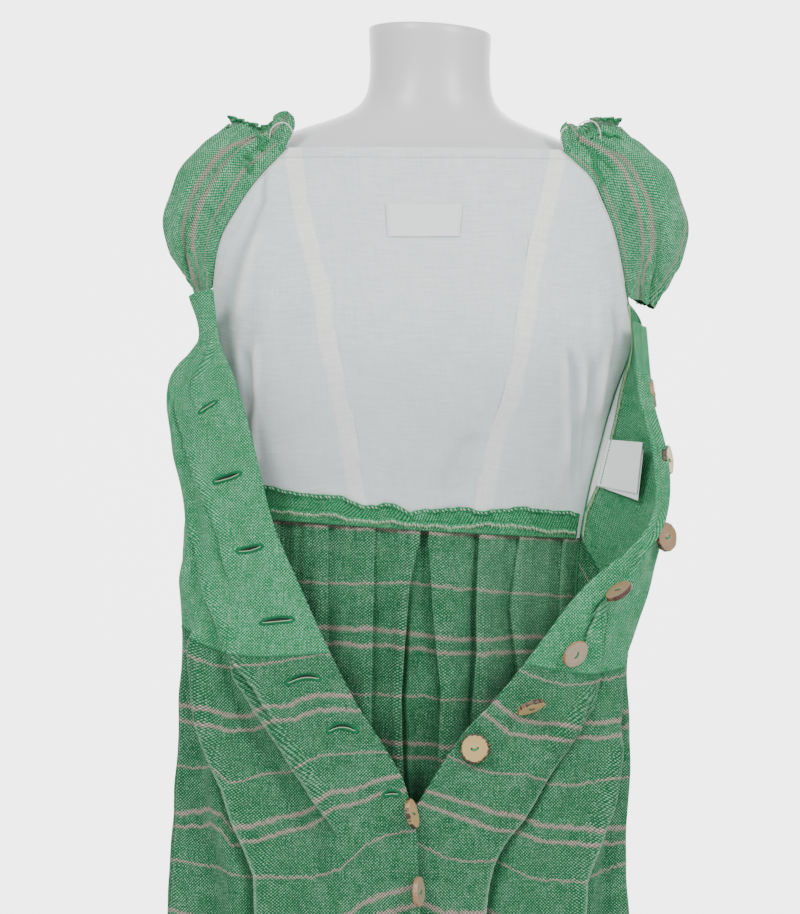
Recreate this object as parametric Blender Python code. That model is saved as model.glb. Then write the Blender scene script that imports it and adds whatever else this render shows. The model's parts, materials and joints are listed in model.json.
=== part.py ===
"""A dirndl dress hung open on a limbless dress form.

The dress hangs in front of the form by its puff sleeves, with its back on the form's chest, so that the
lining of the back faces forward. Its fronts are unbuttoned to below the waist and fall apart in a V.
Front is -Y, left is -X as seen from the front, +Z is up and the floor is z = 0.
Each cloth piece is a thin wall on one surface: points of that surface moved along its normals.
"""

import math
from collections import namedtuple

import bmesh
import bpy
from mathutils import Matrix, Vector

MM = 0.001

# Cloth walls, measured from the sewn surface: minus is towards the outer face, plus towards the inside.
CLOTH = (-1.3 * MM, 0.0)
LINING = (0.4 * MM, 1.4 * MM)
FACING = (1.8 * MM, 2.9 * MM)
LABEL = (1.8 * MM, 2.8 * MM)
BODICE_ALLOWANCE = (1.8 * MM, 3.0 * MM)
SKIRT_ALLOWANCE = (3.4 * MM, 4.6 * MM)
SEAM_GAP = 0.0035
WAIST_GAP = 0.0012
FORM_CLEARANCE = 2.2 * MM

# The dress form.
FORM_SIDES = 30
SHOULDER_DROP = 0.040
NECK_TILT = 0.02
POLE_RADIUS = 15 * MM
POLE_SIDES = 16
BASE_RADIUS = 195 * MM
BASE_HEIGHT = 13 * MM
BASE_BEVEL = 3 * MM
BASE_SIDES = 40
COLLAR_RADIUS = 34 * MM
COLLAR_HEIGHT = 42 * MM
JOINT_GAP = 0.3 * MM

FormRing = namedtuple("FormRing", "height half_width front back squareness")
FORM = [
    FormRing(742, 112, 72, 78, 2.0),
    FormRing(756, 138, 92, 98, 2.1),
    FormRing(800, 152, 102, 108, 2.2),
    FormRing(860, 158, 107, 113, 2.2),
    FormRing(925, 153, 106, 110, 2.2),
    FormRing(990, 134, 97, 98, 2.2),
    FormRing(1060, 120, 89, 84, 2.2),
    FormRing(1125, 130, 95, 80, 2.2),
    FormRing(1190, 150, 110, 86, 2.3),
    FormRing(1255, 171, 119, 93, 2.3),
    FormRing(1310, 185, 108, 96, 2.3),
    FormRing(1352, 188, 92, 93, 2.3),
    FormRing(1385, 178, 78, 88, 2.2),
    FormRing(1406, 156, 69, 83, 2.1),
    FormRing(1420, 128, 63, 77, 2.0),
    FormRing(1430, 98, 60, 71, 2.0),
    FormRing(1441, 73, 57, 64, 2.0),
    FormRing(1456, 60, 55, 57, 2.0),
    FormRing(1480, 56, 53, 54, 2.0),
    FormRing(1517, 57, 54, 54, 2.0),
]

# The sewn surface of the dress. The level is -1 at the back neckline, 0 under the arm, 1 at the waist seam
# and 2 at the hem. Seam fractions say where the princess seams cross each row of the back.
BackRow = namedtuple(
    "BackRow",
    "level left_x left_z right_x right_z mid_z mid_y side_y seam_left seam_right",
)
BACK = [
    BackRow(-1.00, -128, 1403, 117, 1401, 1401, -80, -60, 0.05, 0.957),
    BackRow(-0.80, -153, 1378, 143, 1377, 1375, -92, -62, 0.135, 0.862),
    BackRow(-0.60, -173, 1351, 156, 1353, 1347, -105, -60, 0.196, 0.818),
    BackRow(-0.35, -190, 1320, 168, 1320, 1315, -118, -56, 0.249, 0.774),
    BackRow(0.00, -199, 1268, 179, 1265, 1262, -129, -49, 0.295, 0.732),
    BackRow(0.20, -202, 1229, 183, 1228, 1226, -129, -46, 0.308, 0.711),
    BackRow(0.45, -207, 1182, 167, 1181, 1180, -124, -50, 0.358, 0.723),
    BackRow(0.72, -207, 1128, 152, 1129, 1127, -112, -53, 0.40, 0.705),
    BackRow(1.00, -202, 1060, 135, 1056, 1061, -103, -58, 0.433, 0.706),
    BackRow(1.10, -203, 986, 131, 984, 990, -118, -68, 0.433, 0.706),
    BackRow(1.28, -212, 858, 140, 856, 864, -129, -90, 0.433, 0.706),
    BackRow(1.45, -221, 737, 150, 735, 744, -131, -106, 0.433, 0.706),
    BackRow(1.72, -232, 546, 162, 545, 555, -126, -122, 0.433, 0.706),
    BackRow(2.00, -242, 345, 172, 345, 358, -120, -134, 0.433, 0.706),
]
BACK_CURVE = 2.8
BACK_LEVELS = (-0.999, -0.86, -0.73, -0.60, -0.48, -0.365, -0.2, 0.0, 0.2, 0.42, 0.68, 0.86, 0.93, 0.9988)
BACK_SPANS = {"left": (0, 1 / 3, 4), "centre": (1 / 3, 2 / 3, 9), "right": (2 / 3, 1, 4)}

# Each front runs from the side seam round its outermost line to the placket edge.
FrontRow = namedtuple("FrontRow", "level edge_x edge_y edge_z outer_x outer_y outer_z")
FRONT = {
    "left": [
        FrontRow(0.00, -197, -88, 1273, -217, -80, 1267),
        FrontRow(0.14, -190, -102, 1227, -207, -84, 1228),
        FrontRow(0.27, -174, -117, 1188, -232, -86, 1188),
        FrontRow(0.45, -157, -130, 1129, -228, -90, 1129),
        FrontRow(0.65, -140, -144, 1064, -215, -98, 1063),
        FrontRow(0.83, -115, -157, 1007, -222, -106, 1012),
        FrontRow(1.00, -90, -170, 954, -218, -112, 971),
        FrontRow(1.07, -67, -182, 911, -217, -118, 918),
        FrontRow(1.143, -40, -192, 870, -218, -124, 866),
        FrontRow(1.19, -25, -198, 842, -221, -128, 832),
        FrontRow(1.27, -14, -204, 787, -223, -133, 776),
        FrontRow(1.60, -12, -218, 530, -238, -152, 545),
        FrontRow(2.00, -12, -236, 240, -262, -172, 264),
    ],
    "right": [
        FrontRow(0.00, 184, -68, 1245, 191, -58, 1242),
        FrontRow(0.215, 187, -100, 1174, 193, -84, 1174),
        FrontRow(0.357, 196, -124, 1129, 204, -92, 1129),
        FrontRow(0.50, 196, -145, 1081, 207, -100, 1085),
        FrontRow(0.597, 181, -158, 1051, 200, -108, 1046),
        FrontRow(0.78, 131, -168, 1008, 189, -112, 1002),
        FrontRow(1.00, 81, -178, 945, 171, -118, 948),
        FrontRow(1.063, 53, -184, 912, 170, -124, 906),
        FrontRow(1.119, 25, -188, 882, 169, -128, 866),
        FrontRow(1.206, -8, -192, 831, 167, -132, 804),
        FrontRow(1.274, -34, -194, 786, 166, -136, 756),
        FrontRow(1.60, -42, -206, 530, 180, -152, 545),
        FrontRow(2.00, -42, -224, 240, 196, -170, 266),
    ],
}

# Columns and levels that a front's bodice, lining and facing share.
BODICE_COLUMNS = [-0.97, -0.86, -0.7, -0.52, -0.34, -0.16, 0.0, 0.1, 0.2, 0.3, 0.42, 0.55, 0.7, 0.84, 0.97, 1.0]
BODICE_LEVELS = [0.0, 0.1, 0.2, 0.32, 0.46, 0.6, 0.74, 0.87, 1 - WAIST_GAP * 2.5]
SKIRT_LEVELS = [1 + WAIST_GAP * 1.3, 1.04, 1.08, 1.12, 1.17, 1.22, 1.28, 1.37, 1.5, 1.66, 1.83, 2.0]
SKIRT_COLUMNS_FRONT = 25
SKIRT_COLUMNS_SIDE = 9
LINING_COLUMNS = 3
FACING_STARTS = 1

# Folds of the fronts' skirts. Around gives the fold's place at the waist, 15 cm and 21 cm below it and at
# the hem, as a share of the way from the outermost line to the placket edge.
Fold = namedtuple("Fold", "waist upper lower hem height width ends")
FOLDS = {
    "left": [
        Fold(-0.60, -0.62, -0.62, -0.60, 7, 0.16, 3.0),
        Fold(0.29, 0.37, 0.50, 0.58, 7, 0.075, 3.0),
        Fold(0.19, 0.27, 0.36, 0.38, -6, 0.07, 3.0),
        Fold(0.46, 0.66, 0.76, 0.82, -9, 0.055, 1.34),
        Fold(0.58, 0.75, 0.82, 0.86, 6, 0.06, 1.34),
        Fold(0.02, 0.04, 0.08, 0.10, 6, 0.08, 3.0),
    ],
    "right": [
        Fold(-0.60, -0.62, -0.62, -0.60, 7, 0.16, 3.0),
        Fold(0.22, 0.33, 0.40, 0.44, 7, 0.07, 3.0),
        Fold(0.10, 0.20, 0.25, 0.28, -6, 0.06, 3.0),
        Fold(0.45, 0.64, 0.76, 0.80, -8, 0.06, 1.5),
        Fold(0.56, 0.74, 0.85, 0.88, 5, 0.07, 1.5),
        Fold(0.02, 0.05, 0.08, 0.10, 5, 0.06, 3.0),
    ],
}
HEM_WAVES = 6
HEM_WAVE_HEIGHT = 12
FRONT_SAG = 11
BODICE_FOLDS = {
    "left": [
        Fold(0.17, 0.17, 0.17, 0.17, 4, 0.10, 3.0),
        Fold(0.33, 0.33, 0.33, 0.33, -3, 0.08, 3.0),
        Fold(-0.5, -0.5, -0.5, -0.5, 4, 0.2, 3.0),
    ],
    "right": [
        Fold(0.25, 0.25, 0.25, 0.25, 3, 0.10, 3.0),
        Fold(-0.5, -0.5, -0.5, -0.5, -3, 0.2, 3.0),
    ],
}

# Knife pleats of the back skirt, facing away from a box pleat at the centre back. Lines are the pleats'
# fold lines, as shares of the way across.
PLEAT_LINES = (0.0, 0.07, 0.198, 0.322, 0.446, 0.567, 0.600, 0.730, 0.834, 0.955, 1.0)
CENTRE_PLEAT = 5
PLEAT_STATIONS = (0.0, 0.14, 0.5, 0.86)
PLEAT_CREST = 0.86
PLEAT_AT_WAIST = 2.5
PLEAT_AT_HEM = 15.0

# Puff sleeves, from the gathered top (0) to the underarm (1): outermost line, rear edge and fullness.
SleeveRow = namedtuple(
    "SleeveRow", "level outer_x outer_y outer_z rear_x rear_y rear_z puff"
)
SLEEVE = {
    "left": [
        SleeveRow(0.00, -184, -5, 1432, -150, 50, 1412, 8),
        SleeveRow(0.15, -213, -12, 1409, -160, 59, 1396, 22),
        SleeveRow(0.30, -230, -20, 1384, -167, 66, 1376, 31),
        SleeveRow(0.50, -241, -26, 1342, -170, 68, 1342, 35),
        SleeveRow(0.70, -235, -30, 1313, -172, 62, 1312, 28),
        SleeveRow(0.85, -221, -34, 1290, -184, 40, 1292, 17),
        SleeveRow(1.00, -213, -36, 1277, -202, -8, 1281, 7),
    ],
    "right": [
        SleeveRow(0.00, 174, -5, 1430, 145, 50, 1404, 8),
        SleeveRow(0.15, 205, -12, 1402, 154, 59, 1388, 22),
        SleeveRow(0.30, 224, -20, 1375, 161, 66, 1368, 31),
        SleeveRow(0.50, 235, -26, 1333, 164, 68, 1334, 35),
        SleeveRow(0.70, 229, -30, 1302, 167, 62, 1304, 28),
        SleeveRow(0.85, 214, -34, 1278, 178, 40, 1284, 17),
        SleeveRow(1.00, 203, -36, 1262, 190, -8, 1268, 7),
    ],
}
SLEEVE_GATHERS = 12
GATHER_HEIGHT = 3.0 * MM
SLEEVE_LEVELS = (0.004, 0.07, 0.17, 0.30, 0.45, 0.62, 0.78, 0.90, 0.996)
FRILL_WAVES = 9
FRILL_WAVE_HEIGHT = 4.0 * MM
FRILL_SPAN = (0.02, 0.56)
FRILL_LOW = 0.2 * MM
FRILL_HEIGHT = 12 * MM
FRILL_PEAK = 8 * MM

# Horn-slice buttons on the right front. Thread is the gap under a button's lowest point, and face is the
# way it looks, since each hangs on its thread.
Button = namedtuple("Button", "level inset thread face_x face_y face_z")
BUTTON_RADIUS = 13.5 * MM
BUTTON_THICKNESS = 4.4 * MM
BUTTON_SIDES = 12
BUTTON_BEVEL = 0.6 * MM
OPEN_BUTTONS = [
    Button(0.205, 20, 1.0, 0.99, -0.09, 0.14),
    Button(0.390, 20, 0.2, 0.93, -0.35, 0.1),
    Button(0.575, 22, 0.5, 0.7, -0.7, 0.1),
    Button(0.757, 27, 0.5, -0.38, -0.55, 0.74),
    Button(0.955, 33, 0.5, 0.35, -0.9, -0.25),
    Button(1.062, 33, 0.5, 0.32, -0.62, -0.72),
    Button(1.130, 20, 0.5, -0.2, -0.97, 0.1),
]
# Fastened buttons stand on edge at the left placket, pushed sideways in their buttonholes.
CLOSED_LEVELS = (1.225, 1.313, 1.401, 1.489, 1.577)
CLOSED_FACE = (0.96, -0.28, 0.0)
CLOSED_FORWARD = 6.5 * MM
CLOSED_GAP = 0.6 * MM

LABEL_ACROSS = (12 / 27, 15 / 27)
LABEL_LEVELS = BACK_LEVELS[3:6]
TAG_CORNERS = ((161, -56.7, 1139), (189, -86.3, 1136), (184, -88.3, 1090), (150, -58.9, 1097))
TAG_THICKNESS = 1.0 * MM
TAG_GAP = 0.5 * MM
SECOND_TAG_DROP = 6 * MM

Finish = namedtuple("Finish", "red green blue roughness metallic")
FINISHES = {
    "form_gloss": Finish(0.66, 0.66, 0.69, 0.30, 0.0),
    "stand_steel": Finish(0.55, 0.56, 0.58, 0.35, 1.0),
    "green_linen": Finish(0.04, 0.26, 0.12, 0.90, 0.0),
    "striped_linen": Finish(0.05, 0.27, 0.13, 0.90, 0.0),
    "lining_cotton": Finish(0.66, 0.68, 0.66, 0.85, 0.0),
    "label_white": Finish(0.80, 0.81, 0.82, 0.70, 0.0),
    "horn": Finish(0.45, 0.30, 0.14, 0.50, 0.0),
}


# ---------------------------------------------------------------- curves and tables


def read(rows, key):
    """Read a table between its rows, along smooth curves through them; the first column is the key."""
    keys = [row[0] for row in rows]
    key = min(max(key, keys[0]), keys[-1])
    i = max(j for j in range(len(rows) - 1) if keys[j] <= key)
    span = keys[i + 1] - keys[i]
    t = (key - keys[i]) / span

    def slope(j, column):
        low, high = max(j - 1, 0), min(j + 1, len(rows) - 1)
        return (rows[high][column] - rows[low][column]) / (keys[high] - keys[low])

    values = [key]
    for c in range(1, len(rows[0])):
        a, b = rows[i][c], rows[i + 1][c]
        ma, mb = slope(i, c) * span, slope(i + 1, c) * span
        rise = (
            (2 * t**3 - 3 * t**2 + 1) * a + (t**3 - 2 * t**2 + t) * ma
        )
        fall = (3 * t**2 - 2 * t**3) * b + (t**3 - t**2) * mb
        values.append(rise + fall)
    return type(rows[0])(*values)


def through(points, t):
    """Point at t (0 to 1) on a smooth curve through evenly spaced points."""
    rows = [Station(k / (len(points) - 1), *p) for k, p in enumerate(points)]
    at = read(rows, t)
    return Vector(at[1:])


Station = namedtuple("Station", "key x y z")


def mix(a, b, t):
    return a + (b - a) * t


def ease(t):
    t = min(max(t, 0.0), 1.0)
    return t * t * (3 - 2 * t)


def steps(low, high, count):
    return [mix(low, high, k / count) for k in range(count + 1)]


# ---------------------------------------------------------------- the form


def form_lean(height):
    """Share of the shoulder drop at a height in mm: none at the hips, all at the neck."""
    return SHOULDER_DROP * ease((height - 1000) / 350)


def form_front(x, z):
    """Front surface of the form at x and z in mm, or None beside it."""
    ring = read(FORM, z + form_lean(z) * x)
    share = abs(x) / ring.half_width
    if share >= 1:
        return None
    n = ring.squareness
    return -ring.front * (1 - share**n) ** (1 / n)


# ---------------------------------------------------------------- the sewn surface of the dress


def back_point(across, level):
    """Sewn surface of the back. Across is 0 and 1 at its edges; above the waist, the princess seams are at
    1/3 and 2/3, and below it, across is even."""
    row = read(BACK, level)
    if level > 1:
        f = across
    elif across < 1 / 3:
        f = mix(0.0, row.seam_left, across * 3)
    elif across < 2 / 3:
        f = mix(row.seam_left, row.seam_right, across * 3 - 1)
    else:
        f = mix(row.seam_right, 1.0, across * 3 - 2)
    x = mix(row.left_x, row.right_x, f)
    z = mix(row.left_z, row.right_z, f)
    z += (row.mid_z - (row.left_z + row.right_z) / 2) * 4 * f * (1 - f)
    y = mix(row.side_y, row.mid_y, 1 - abs(2 * f - 1) ** BACK_CURVE)
    front = form_front(x, z)
    if front is not None:
        y = min(y, front - FORM_CLEARANCE / MM)
    return Vector((x, y, z)) * MM


def pleat(across, level):
    """How far the back skirt's pleats stand towards the inside: each rises slowly and drops in one step."""
    k = max(i for i, line in enumerate(PLEAT_LINES[:-1]) if line <= across)
    phase = (across - PLEAT_LINES[k]) / (PLEAT_LINES[k + 1] - PLEAT_LINES[k])
    if k > CENTRE_PLEAT:
        phase = 1 - phase
    wave = phase / PLEAT_CREST if phase < PLEAT_CREST else (1 - phase) / (1 - PLEAT_CREST)
    if k == CENTRE_PLEAT:
        wave = -0.6 * math.sin(math.pi * phase)
    height = mix(PLEAT_AT_WAIST, PLEAT_AT_HEM, ease((level - 1) / 0.8))
    return -height * wave * MM


def back_skirt_point(across, level):
    p = back_point(across, level)
    p.y += pleat(across, level)
    return p


def fold_place(fold, level):
    """Where a fold runs at a level of the skirt."""
    if level < 1.15:
        return mix(fold.waist, fold.upper, (level - 1) / 0.15)
    if level < 1.30:
        return mix(fold.upper, fold.lower, (level - 1.15) / 0.15)
    return mix(fold.lower, fold.hem, (level - 1.30) / 0.70)


def skirt_folds(side, around, level):
    total = 0.0
    for fold in FOLDS[side]:
        off = (around - fold_place(fold, level)) / fold.width
        grows = mix(0.45, 1.0, ease((level - 1) / 0.12))
        fades = ease((fold.ends - level) / 0.12)
        total += fold.height * math.exp(-off * off) * grows * fades
    swell = HEM_WAVE_HEIGHT * ease((level - 1.15) / 0.85) * ease((around + 1) / 0.8)
    return total - swell * math.cos(math.tau * HEM_WAVES * (around + 1) / 2)


def bodice_folds(side, around, level):
    total = 0.0
    for fold in BODICE_FOLDS[side]:
        off = (around - fold.waist) / fold.width
        total += fold.height * math.exp(-off * off) * ease(level / 0.3)
    return total


def fold_height(side, around, level):
    """How far folds move a front's cloth outwards, in metres; none at the placket or the side seam."""
    calm = ease((0.97 - around) / 0.25) * ease((around + 1) / 0.12)
    if level >= 1:
        total = skirt_folds(side, around, level)
    else:
        near = ease((level - 0.8) / 0.2)
        total = mix(bodice_folds(side, around, level), skirt_folds(side, around, 1), near)
    return total * calm * MM


def front_point(side, around, level):
    """Sewn surface of a front. Around is -1 at the side seam, 0 outermost and 1 at the placket edge."""
    back = read(BACK, level)
    seam_x, seam_z = (
        (back.left_x, back.left_z) if side == "left" else (back.right_x, back.right_z)
    )
    seam = Vector((seam_x, back.side_y, seam_z))
    row = read(FRONT[side], level)
    edge = Vector(row[1:4])
    outer = Vector(row[4:7])
    if around < 0:
        turn = (around + 1) * math.pi / 2
        x = mix(seam.x, outer.x, math.sin(turn))
        y = mix(seam.y, outer.y, 1 - math.cos(turn))
        z = mix(seam.z, outer.z, around + 1)
    else:
        turn = around * math.pi / 2
        x = mix(outer.x, edge.x, 1 - math.cos(turn))
        y = mix(outer.y, edge.y, math.sin(turn))
        z = mix(outer.z, edge.z, around)
        z -= FRONT_SAG * math.sin(math.pi * around) * ease((level - 0.5) / 0.4)
    return Vector((x, y, z)) * MM


# ---------------------------------------------------------------- walls


def normals(grid):
    """Unit normals of a grid of points: the way along a row crossed with the way down a column."""
    rows, cols = len(grid), len(grid[0])
    found = []
    for r in range(rows):
        line = []
        for c in range(cols):
            along = grid[r][min(c + 1, cols - 1)] - grid[r][max(c - 1, 0)]
            down = grid[min(r + 1, rows - 1)][c] - grid[max(r - 1, 0)][c]
            line.append(along.cross(down).normalized())
        found.append(line)
    return found


def moved(grid, amount):
    """The grid's points moved along their normals; amount is a length or a grid of lengths."""
    n = normals(grid)
    rows, cols = range(len(grid)), range(len(grid[0]))
    if not isinstance(amount, list):
        amount = [[amount for _ in cols] for _ in rows]
    return [[grid[r][c] + n[r][c] * amount[r][c] for c in cols] for r in rows]


def material(finish):
    found = bpy.data.materials.get(finish)
    if found:
        return found
    look = FINISHES[finish]
    made = bpy.data.materials.new(finish)
    made.use_nodes = True
    shader = made.node_tree.nodes["Principled BSDF"]
    shader.inputs["Base Color"].default_value = (look.red, look.green, look.blue, 1)
    shader.inputs["Roughness"].default_value = look.roughness
    shader.inputs["Metallic"].default_value = look.metallic
    return made


def keep(name, bm, finish, smooth_angle=40):
    """Turn a closed bmesh into a named object with its faces pointing out."""
    bmesh.ops.recalc_face_normals(bm, faces=bm.faces[:])
    if bm.calc_volume(signed=True) < 0:
        bmesh.ops.reverse_faces(bm, faces=bm.faces[:])
    mesh = bpy.data.meshes.new(name)
    bm.to_mesh(mesh)
    bm.free()
    mesh.shade_smooth()
    mesh.set_sharp_from_angle(angle=math.radians(smooth_angle))
    mesh.materials.append(material(finish))
    made = bpy.data.objects.new(name, mesh)
    bpy.context.collection.objects.link(made)
    return made


def wall(name, grid, depths, finish, inner=1):
    """Closed cloth wall between two depths of a grid. Inner is 1 where the normals point inside."""
    low, high = (moved(grid, depth * inner) for depth in depths)
    rows, cols = len(grid), len(grid[0])
    bm = bmesh.new()
    sheets = [[[bm.verts.new(p) for p in line] for line in g] for g in (low, high)]
    for sheet in sheets:
        for r in range(rows - 1):
            for c in range(cols - 1):
                corners = (sheet[r][c], sheet[r][c + 1], sheet[r + 1][c + 1], sheet[r + 1][c])
                bm.faces.new(corners)
    rim = [(0, c) for c in range(cols - 1)]
    rim += [(r, cols - 1) for r in range(rows - 1)]
    rim += [(rows - 1, c) for c in range(cols - 1, 0, -1)]
    rim += [(r, 0) for r in range(rows - 1, 0, -1)]
    for k, (r, c) in enumerate(rim):
        nr, nc = rim[(k + 1) % len(rim)]
        bm.faces.new((sheets[0][r][c], sheets[0][nr][nc], sheets[1][nr][nc], sheets[1][r][c]))
    bmesh.ops.triangulate(bm, faces=bm.faces[:])
    return keep(name, bm, finish)


# ---------------------------------------------------------------- dress form and stand


def make_torso():
    heights = [ring.height for ring in FORM]
    middle = [mix(a, b, 0.5) for a, b in zip(heights[2:10], heights[3:11])]
    bm = bmesh.new()
    loops = []
    for height in sorted(heights + middle[::2]):
        ring = read(FORM, height)
        loop = []
        for k in range(FORM_SIDES):
            angle = math.tau * k / FORM_SIDES
            c, s = math.cos(angle), math.sin(angle)
            power = 2 / ring.squareness
            x = ring.half_width * math.copysign(abs(c) ** power, c)
            depth = ring.front if s < 0 else ring.back
            y = depth * math.copysign(abs(s) ** power, s)
            tilt = NECK_TILT if height == heights[-1] else 0
            z = height - (form_lean(height) + tilt) * x
            loop.append(bm.verts.new(Vector((x, y, z)) * MM))
        loops.append(loop)
    for low, high in zip(loops, loops[1:]):
        for k in range(FORM_SIDES):
            n = (k + 1) % FORM_SIDES
            bm.faces.new((low[k], low[n], high[n], high[k]))
    bm.faces.new(loops[0])
    bm.faces.new(loops[-1])
    bmesh.ops.triangulate(bm, faces=bm.faces[:])
    return keep("form_torso", bm, "form_gloss")


def turned(name, profile, sides, finish):
    """A solid turned round Z from (radius, height) pairs, closed flat at both ends."""
    bm = bmesh.new()
    loops = []
    for radius, height in profile:
        angles = [math.tau * k / sides for k in range(sides)]
        points = [(radius * math.cos(a), radius * math.sin(a), height) for a in angles]
        loops.append([bm.verts.new(p) for p in points])
    for low, high in zip(loops, loops[1:]):
        for k in range(sides):
            n = (k + 1) % sides
            bm.faces.new((low[k], low[n], high[n], high[k]))
    bm.faces.new(loops[0])
    bm.faces.new(loops[-1])
    return keep(name, bm, finish, 30)


def make_stand():
    low = BASE_HEIGHT - BASE_BEVEL
    base = ((BASE_RADIUS, 0), (BASE_RADIUS, low), (BASE_RADIUS - BASE_BEVEL, BASE_HEIGHT))
    turned("form_base", base, BASE_SIDES, "stand_steel")
    collar_low = BASE_HEIGHT + JOINT_GAP
    collar_high = collar_low + COLLAR_HEIGHT
    pole_top = FORM[0].height * MM - JOINT_GAP
    pole = (
        (COLLAR_RADIUS, collar_low),
        (COLLAR_RADIUS * 0.9, collar_low + COLLAR_HEIGHT * 0.3),
        (POLE_RADIUS * 1.3, collar_high),
        (POLE_RADIUS, collar_high + 2 * MM),
        (POLE_RADIUS, pole_top - 24 * MM),
        (COLLAR_RADIUS, pole_top - 10 * MM),
        (COLLAR_RADIUS, pole_top),
    )
    turned("form_pole", pole, POLE_SIDES, "stand_steel")


# ---------------------------------------------------------------- the dress's pieces


def make_back():
    """Shell and lining of the back, each a centre and two sides cut at the princess seams."""
    gap = SEAM_GAP / 6
    for part, (start, end, count) in BACK_SPANS.items():
        for layer, depths, finish, side_trim in (
            ("back_bodice", CLOTH, "green_linen", gap),
            ("back_lining", LINING, "lining_cotton", gap * 10),
        ):
            low = start + (side_trim if start == 0 else gap)
            high = end - (side_trim if end == 1 else gap)
            grid = [[back_point(a, v) for a in steps(low, high, count)] for v in BACK_LEVELS]
            wall(f"{layer}_{part}", grid, depths, finish, -1)
    columns = [
        mix(low, high, station)
        for low, high in zip(PLEAT_LINES, PLEAT_LINES[1:])
        for station in PLEAT_STATIONS
    ]
    columns = [SEAM_GAP / 2] + columns[1:] + [1 - SEAM_GAP / 4]
    down = [1 + WAIST_GAP, 1.1, 1.24, 1.4, 1.58, 1.78, 2.0]
    grid = [[back_skirt_point(a, v) for a in columns] for v in down]
    wall("back_skirt", grid, CLOTH, "striped_linen", -1)


def front_grid(side, around, levels):
    """Grid of a front with its folds in it."""
    grid = [[front_point(side, a, v) for a in around] for v in levels]
    outwards = -1 if side == "left" else 1
    heights = [[outwards * fold_height(side, a, v) for a in around] for v in levels]
    return moved(grid, heights)


def make_fronts():
    for side, inner in (("left", 1), ("right", -1)):
        low = -1 + SEAM_GAP * 2
        grid = front_grid(side, [low, *BODICE_COLUMNS], BODICE_LEVELS)
        wall(f"front_bodice_{side}", grid, CLOTH, "green_linen", inner)
        around = steps(low, 0, SKIRT_COLUMNS_SIDE) + steps(0, 1, SKIRT_COLUMNS_FRONT)[1:]
        grid = front_grid(side, around, SKIRT_LEVELS)
        wall(f"front_skirt_{side}", grid, CLOTH, "striped_linen", inner)


def make_right_inside():
    """Lining and facing of the right front, which the open front shows."""
    grid = front_grid("right", BODICE_COLUMNS[:LINING_COLUMNS], BODICE_LEVELS)
    wall("front_lining_right", grid, LINING, "lining_cotton", -1)
    grid = front_grid("right", BODICE_COLUMNS[FACING_STARTS:-1], BODICE_LEVELS)
    wall("front_facing_right", grid, FACING, "green_linen", -1)


def make_allowances():
    """The two serged seam allowances that stand up inside the back's waist seam."""
    columns = [0.012] + [a for span in BACK_SPANS.values() for a in steps(*span)[1:]][:-1] + [0.988]
    for name, levels, depths in (
        ("waist_allowance_bodice", (0.93, 0.9988), BODICE_ALLOWANCE),
        ("waist_allowance_skirt", (0.965, 0.9988), SKIRT_ALLOWANCE),
    ):
        grid = [[back_point(a, v) for a in columns] for v in levels]
        wall(name, grid, depths, "green_linen", -1)


def sleeve_lines(side, level):
    """Raglan seam, outermost and rear points of a sleeve at a level."""
    row = read(SLEEVE[side], level)
    seam = back_point(0 if side == "left" else 1, -1 + level * 0.985)
    outer = Vector(row[1:4]) * MM
    rear = Vector(row[4:7]) * MM
    seam.x += SEAM_OFFSET[side]
    seam.y -= 0.6 * MM
    return seam, outer, rear, row.puff * MM


SEAM_OFFSET = {"left": -1.6 * MM, "right": 1.6 * MM}


def sleeve_point(side, around, level):
    """Smooth puff of a sleeve; around is 0 at the raglan seam and 1 at the rear edge."""
    seam, outer, rear, puff = sleeve_lines(side, level)
    above = sleeve_lines(side, max(level - 0.06, 0))
    below = sleeve_lines(side, min(level + 0.06, 1))
    facing = 1 if side == "left" else -1
    points = [seam]
    for a, b, k, fullness in ((seam, outer, 0, 1.0), (outer, rear, 1, 0.8)):
        down = (below[k] + below[k + 1]) - (above[k] + above[k + 1])
        away = (b - a).cross(down).normalized() * facing
        points += [(a + b) / 2 + away * puff * fullness, b]
    return through(points, around)


def make_sleeves():
    columns = steps(0, 1, SLEEVE_GATHERS * 4)
    for side, inner in (("left", -1), ("right", 1)):
        grid = [[sleeve_point(side, a, v) for a in columns] for v in SLEEVE_LEVELS]
        gathers = []
        for v in SLEEVE_LEVELS:
            bunch = math.exp(-v / 0.16) + 0.6 * math.exp(-(1 - v) / 0.12)
            ends = [ease(a / 0.05) * ease((1 - a) / 0.05) for a in columns]
            waves = [math.sin(math.tau * SLEEVE_GATHERS * a) for a in columns]
            gathers.append([GATHER_HEIGHT * bunch * e * w for e, w in zip(ends, waves)])
        wall(f"sleeve_{side}", moved(grid, gathers), CLOTH, "striped_linen", inner)
        make_frill(side, inner)


def make_frill(side, inner):
    """The gathered heading that stands up from a sleeve's top edge."""
    columns = steps(*FRILL_SPAN, FRILL_WAVES * 4)
    rows = []
    for share in (0.0, 0.5, 1.0):
        row = []
        for k, a in enumerate(columns):
            top = sleeve_point(side, a, 0.0)
            up = (top - sleeve_point(side, a, 0.08)).normalized()
            peak = math.exp(-(((a - 0.22) / 0.12) ** 2))
            height = FRILL_LOW + share * (FRILL_HEIGHT + FRILL_PEAK * peak)
            lift = Vector((0, 0, 1)) * height * 0.35
            row.append(top + up * height + lift)
        rows.append(row)
    waves = [
        [FRILL_WAVE_HEIGHT * share * math.sin(math.tau * k / 4) for k in range(len(columns))]
        for share in (0.15, 0.6, 1.0)
    ]
    wall(f"sleeve_frill_{side}", moved(rows, waves), CLOTH, "striped_linen", inner)


def make_label():
    grid = [[back_point(a, v) for a in steps(*LABEL_ACROSS, 3)] for v in LABEL_LEVELS]
    wall("neck_label", grid, LABEL, "label_white", -1)


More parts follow.
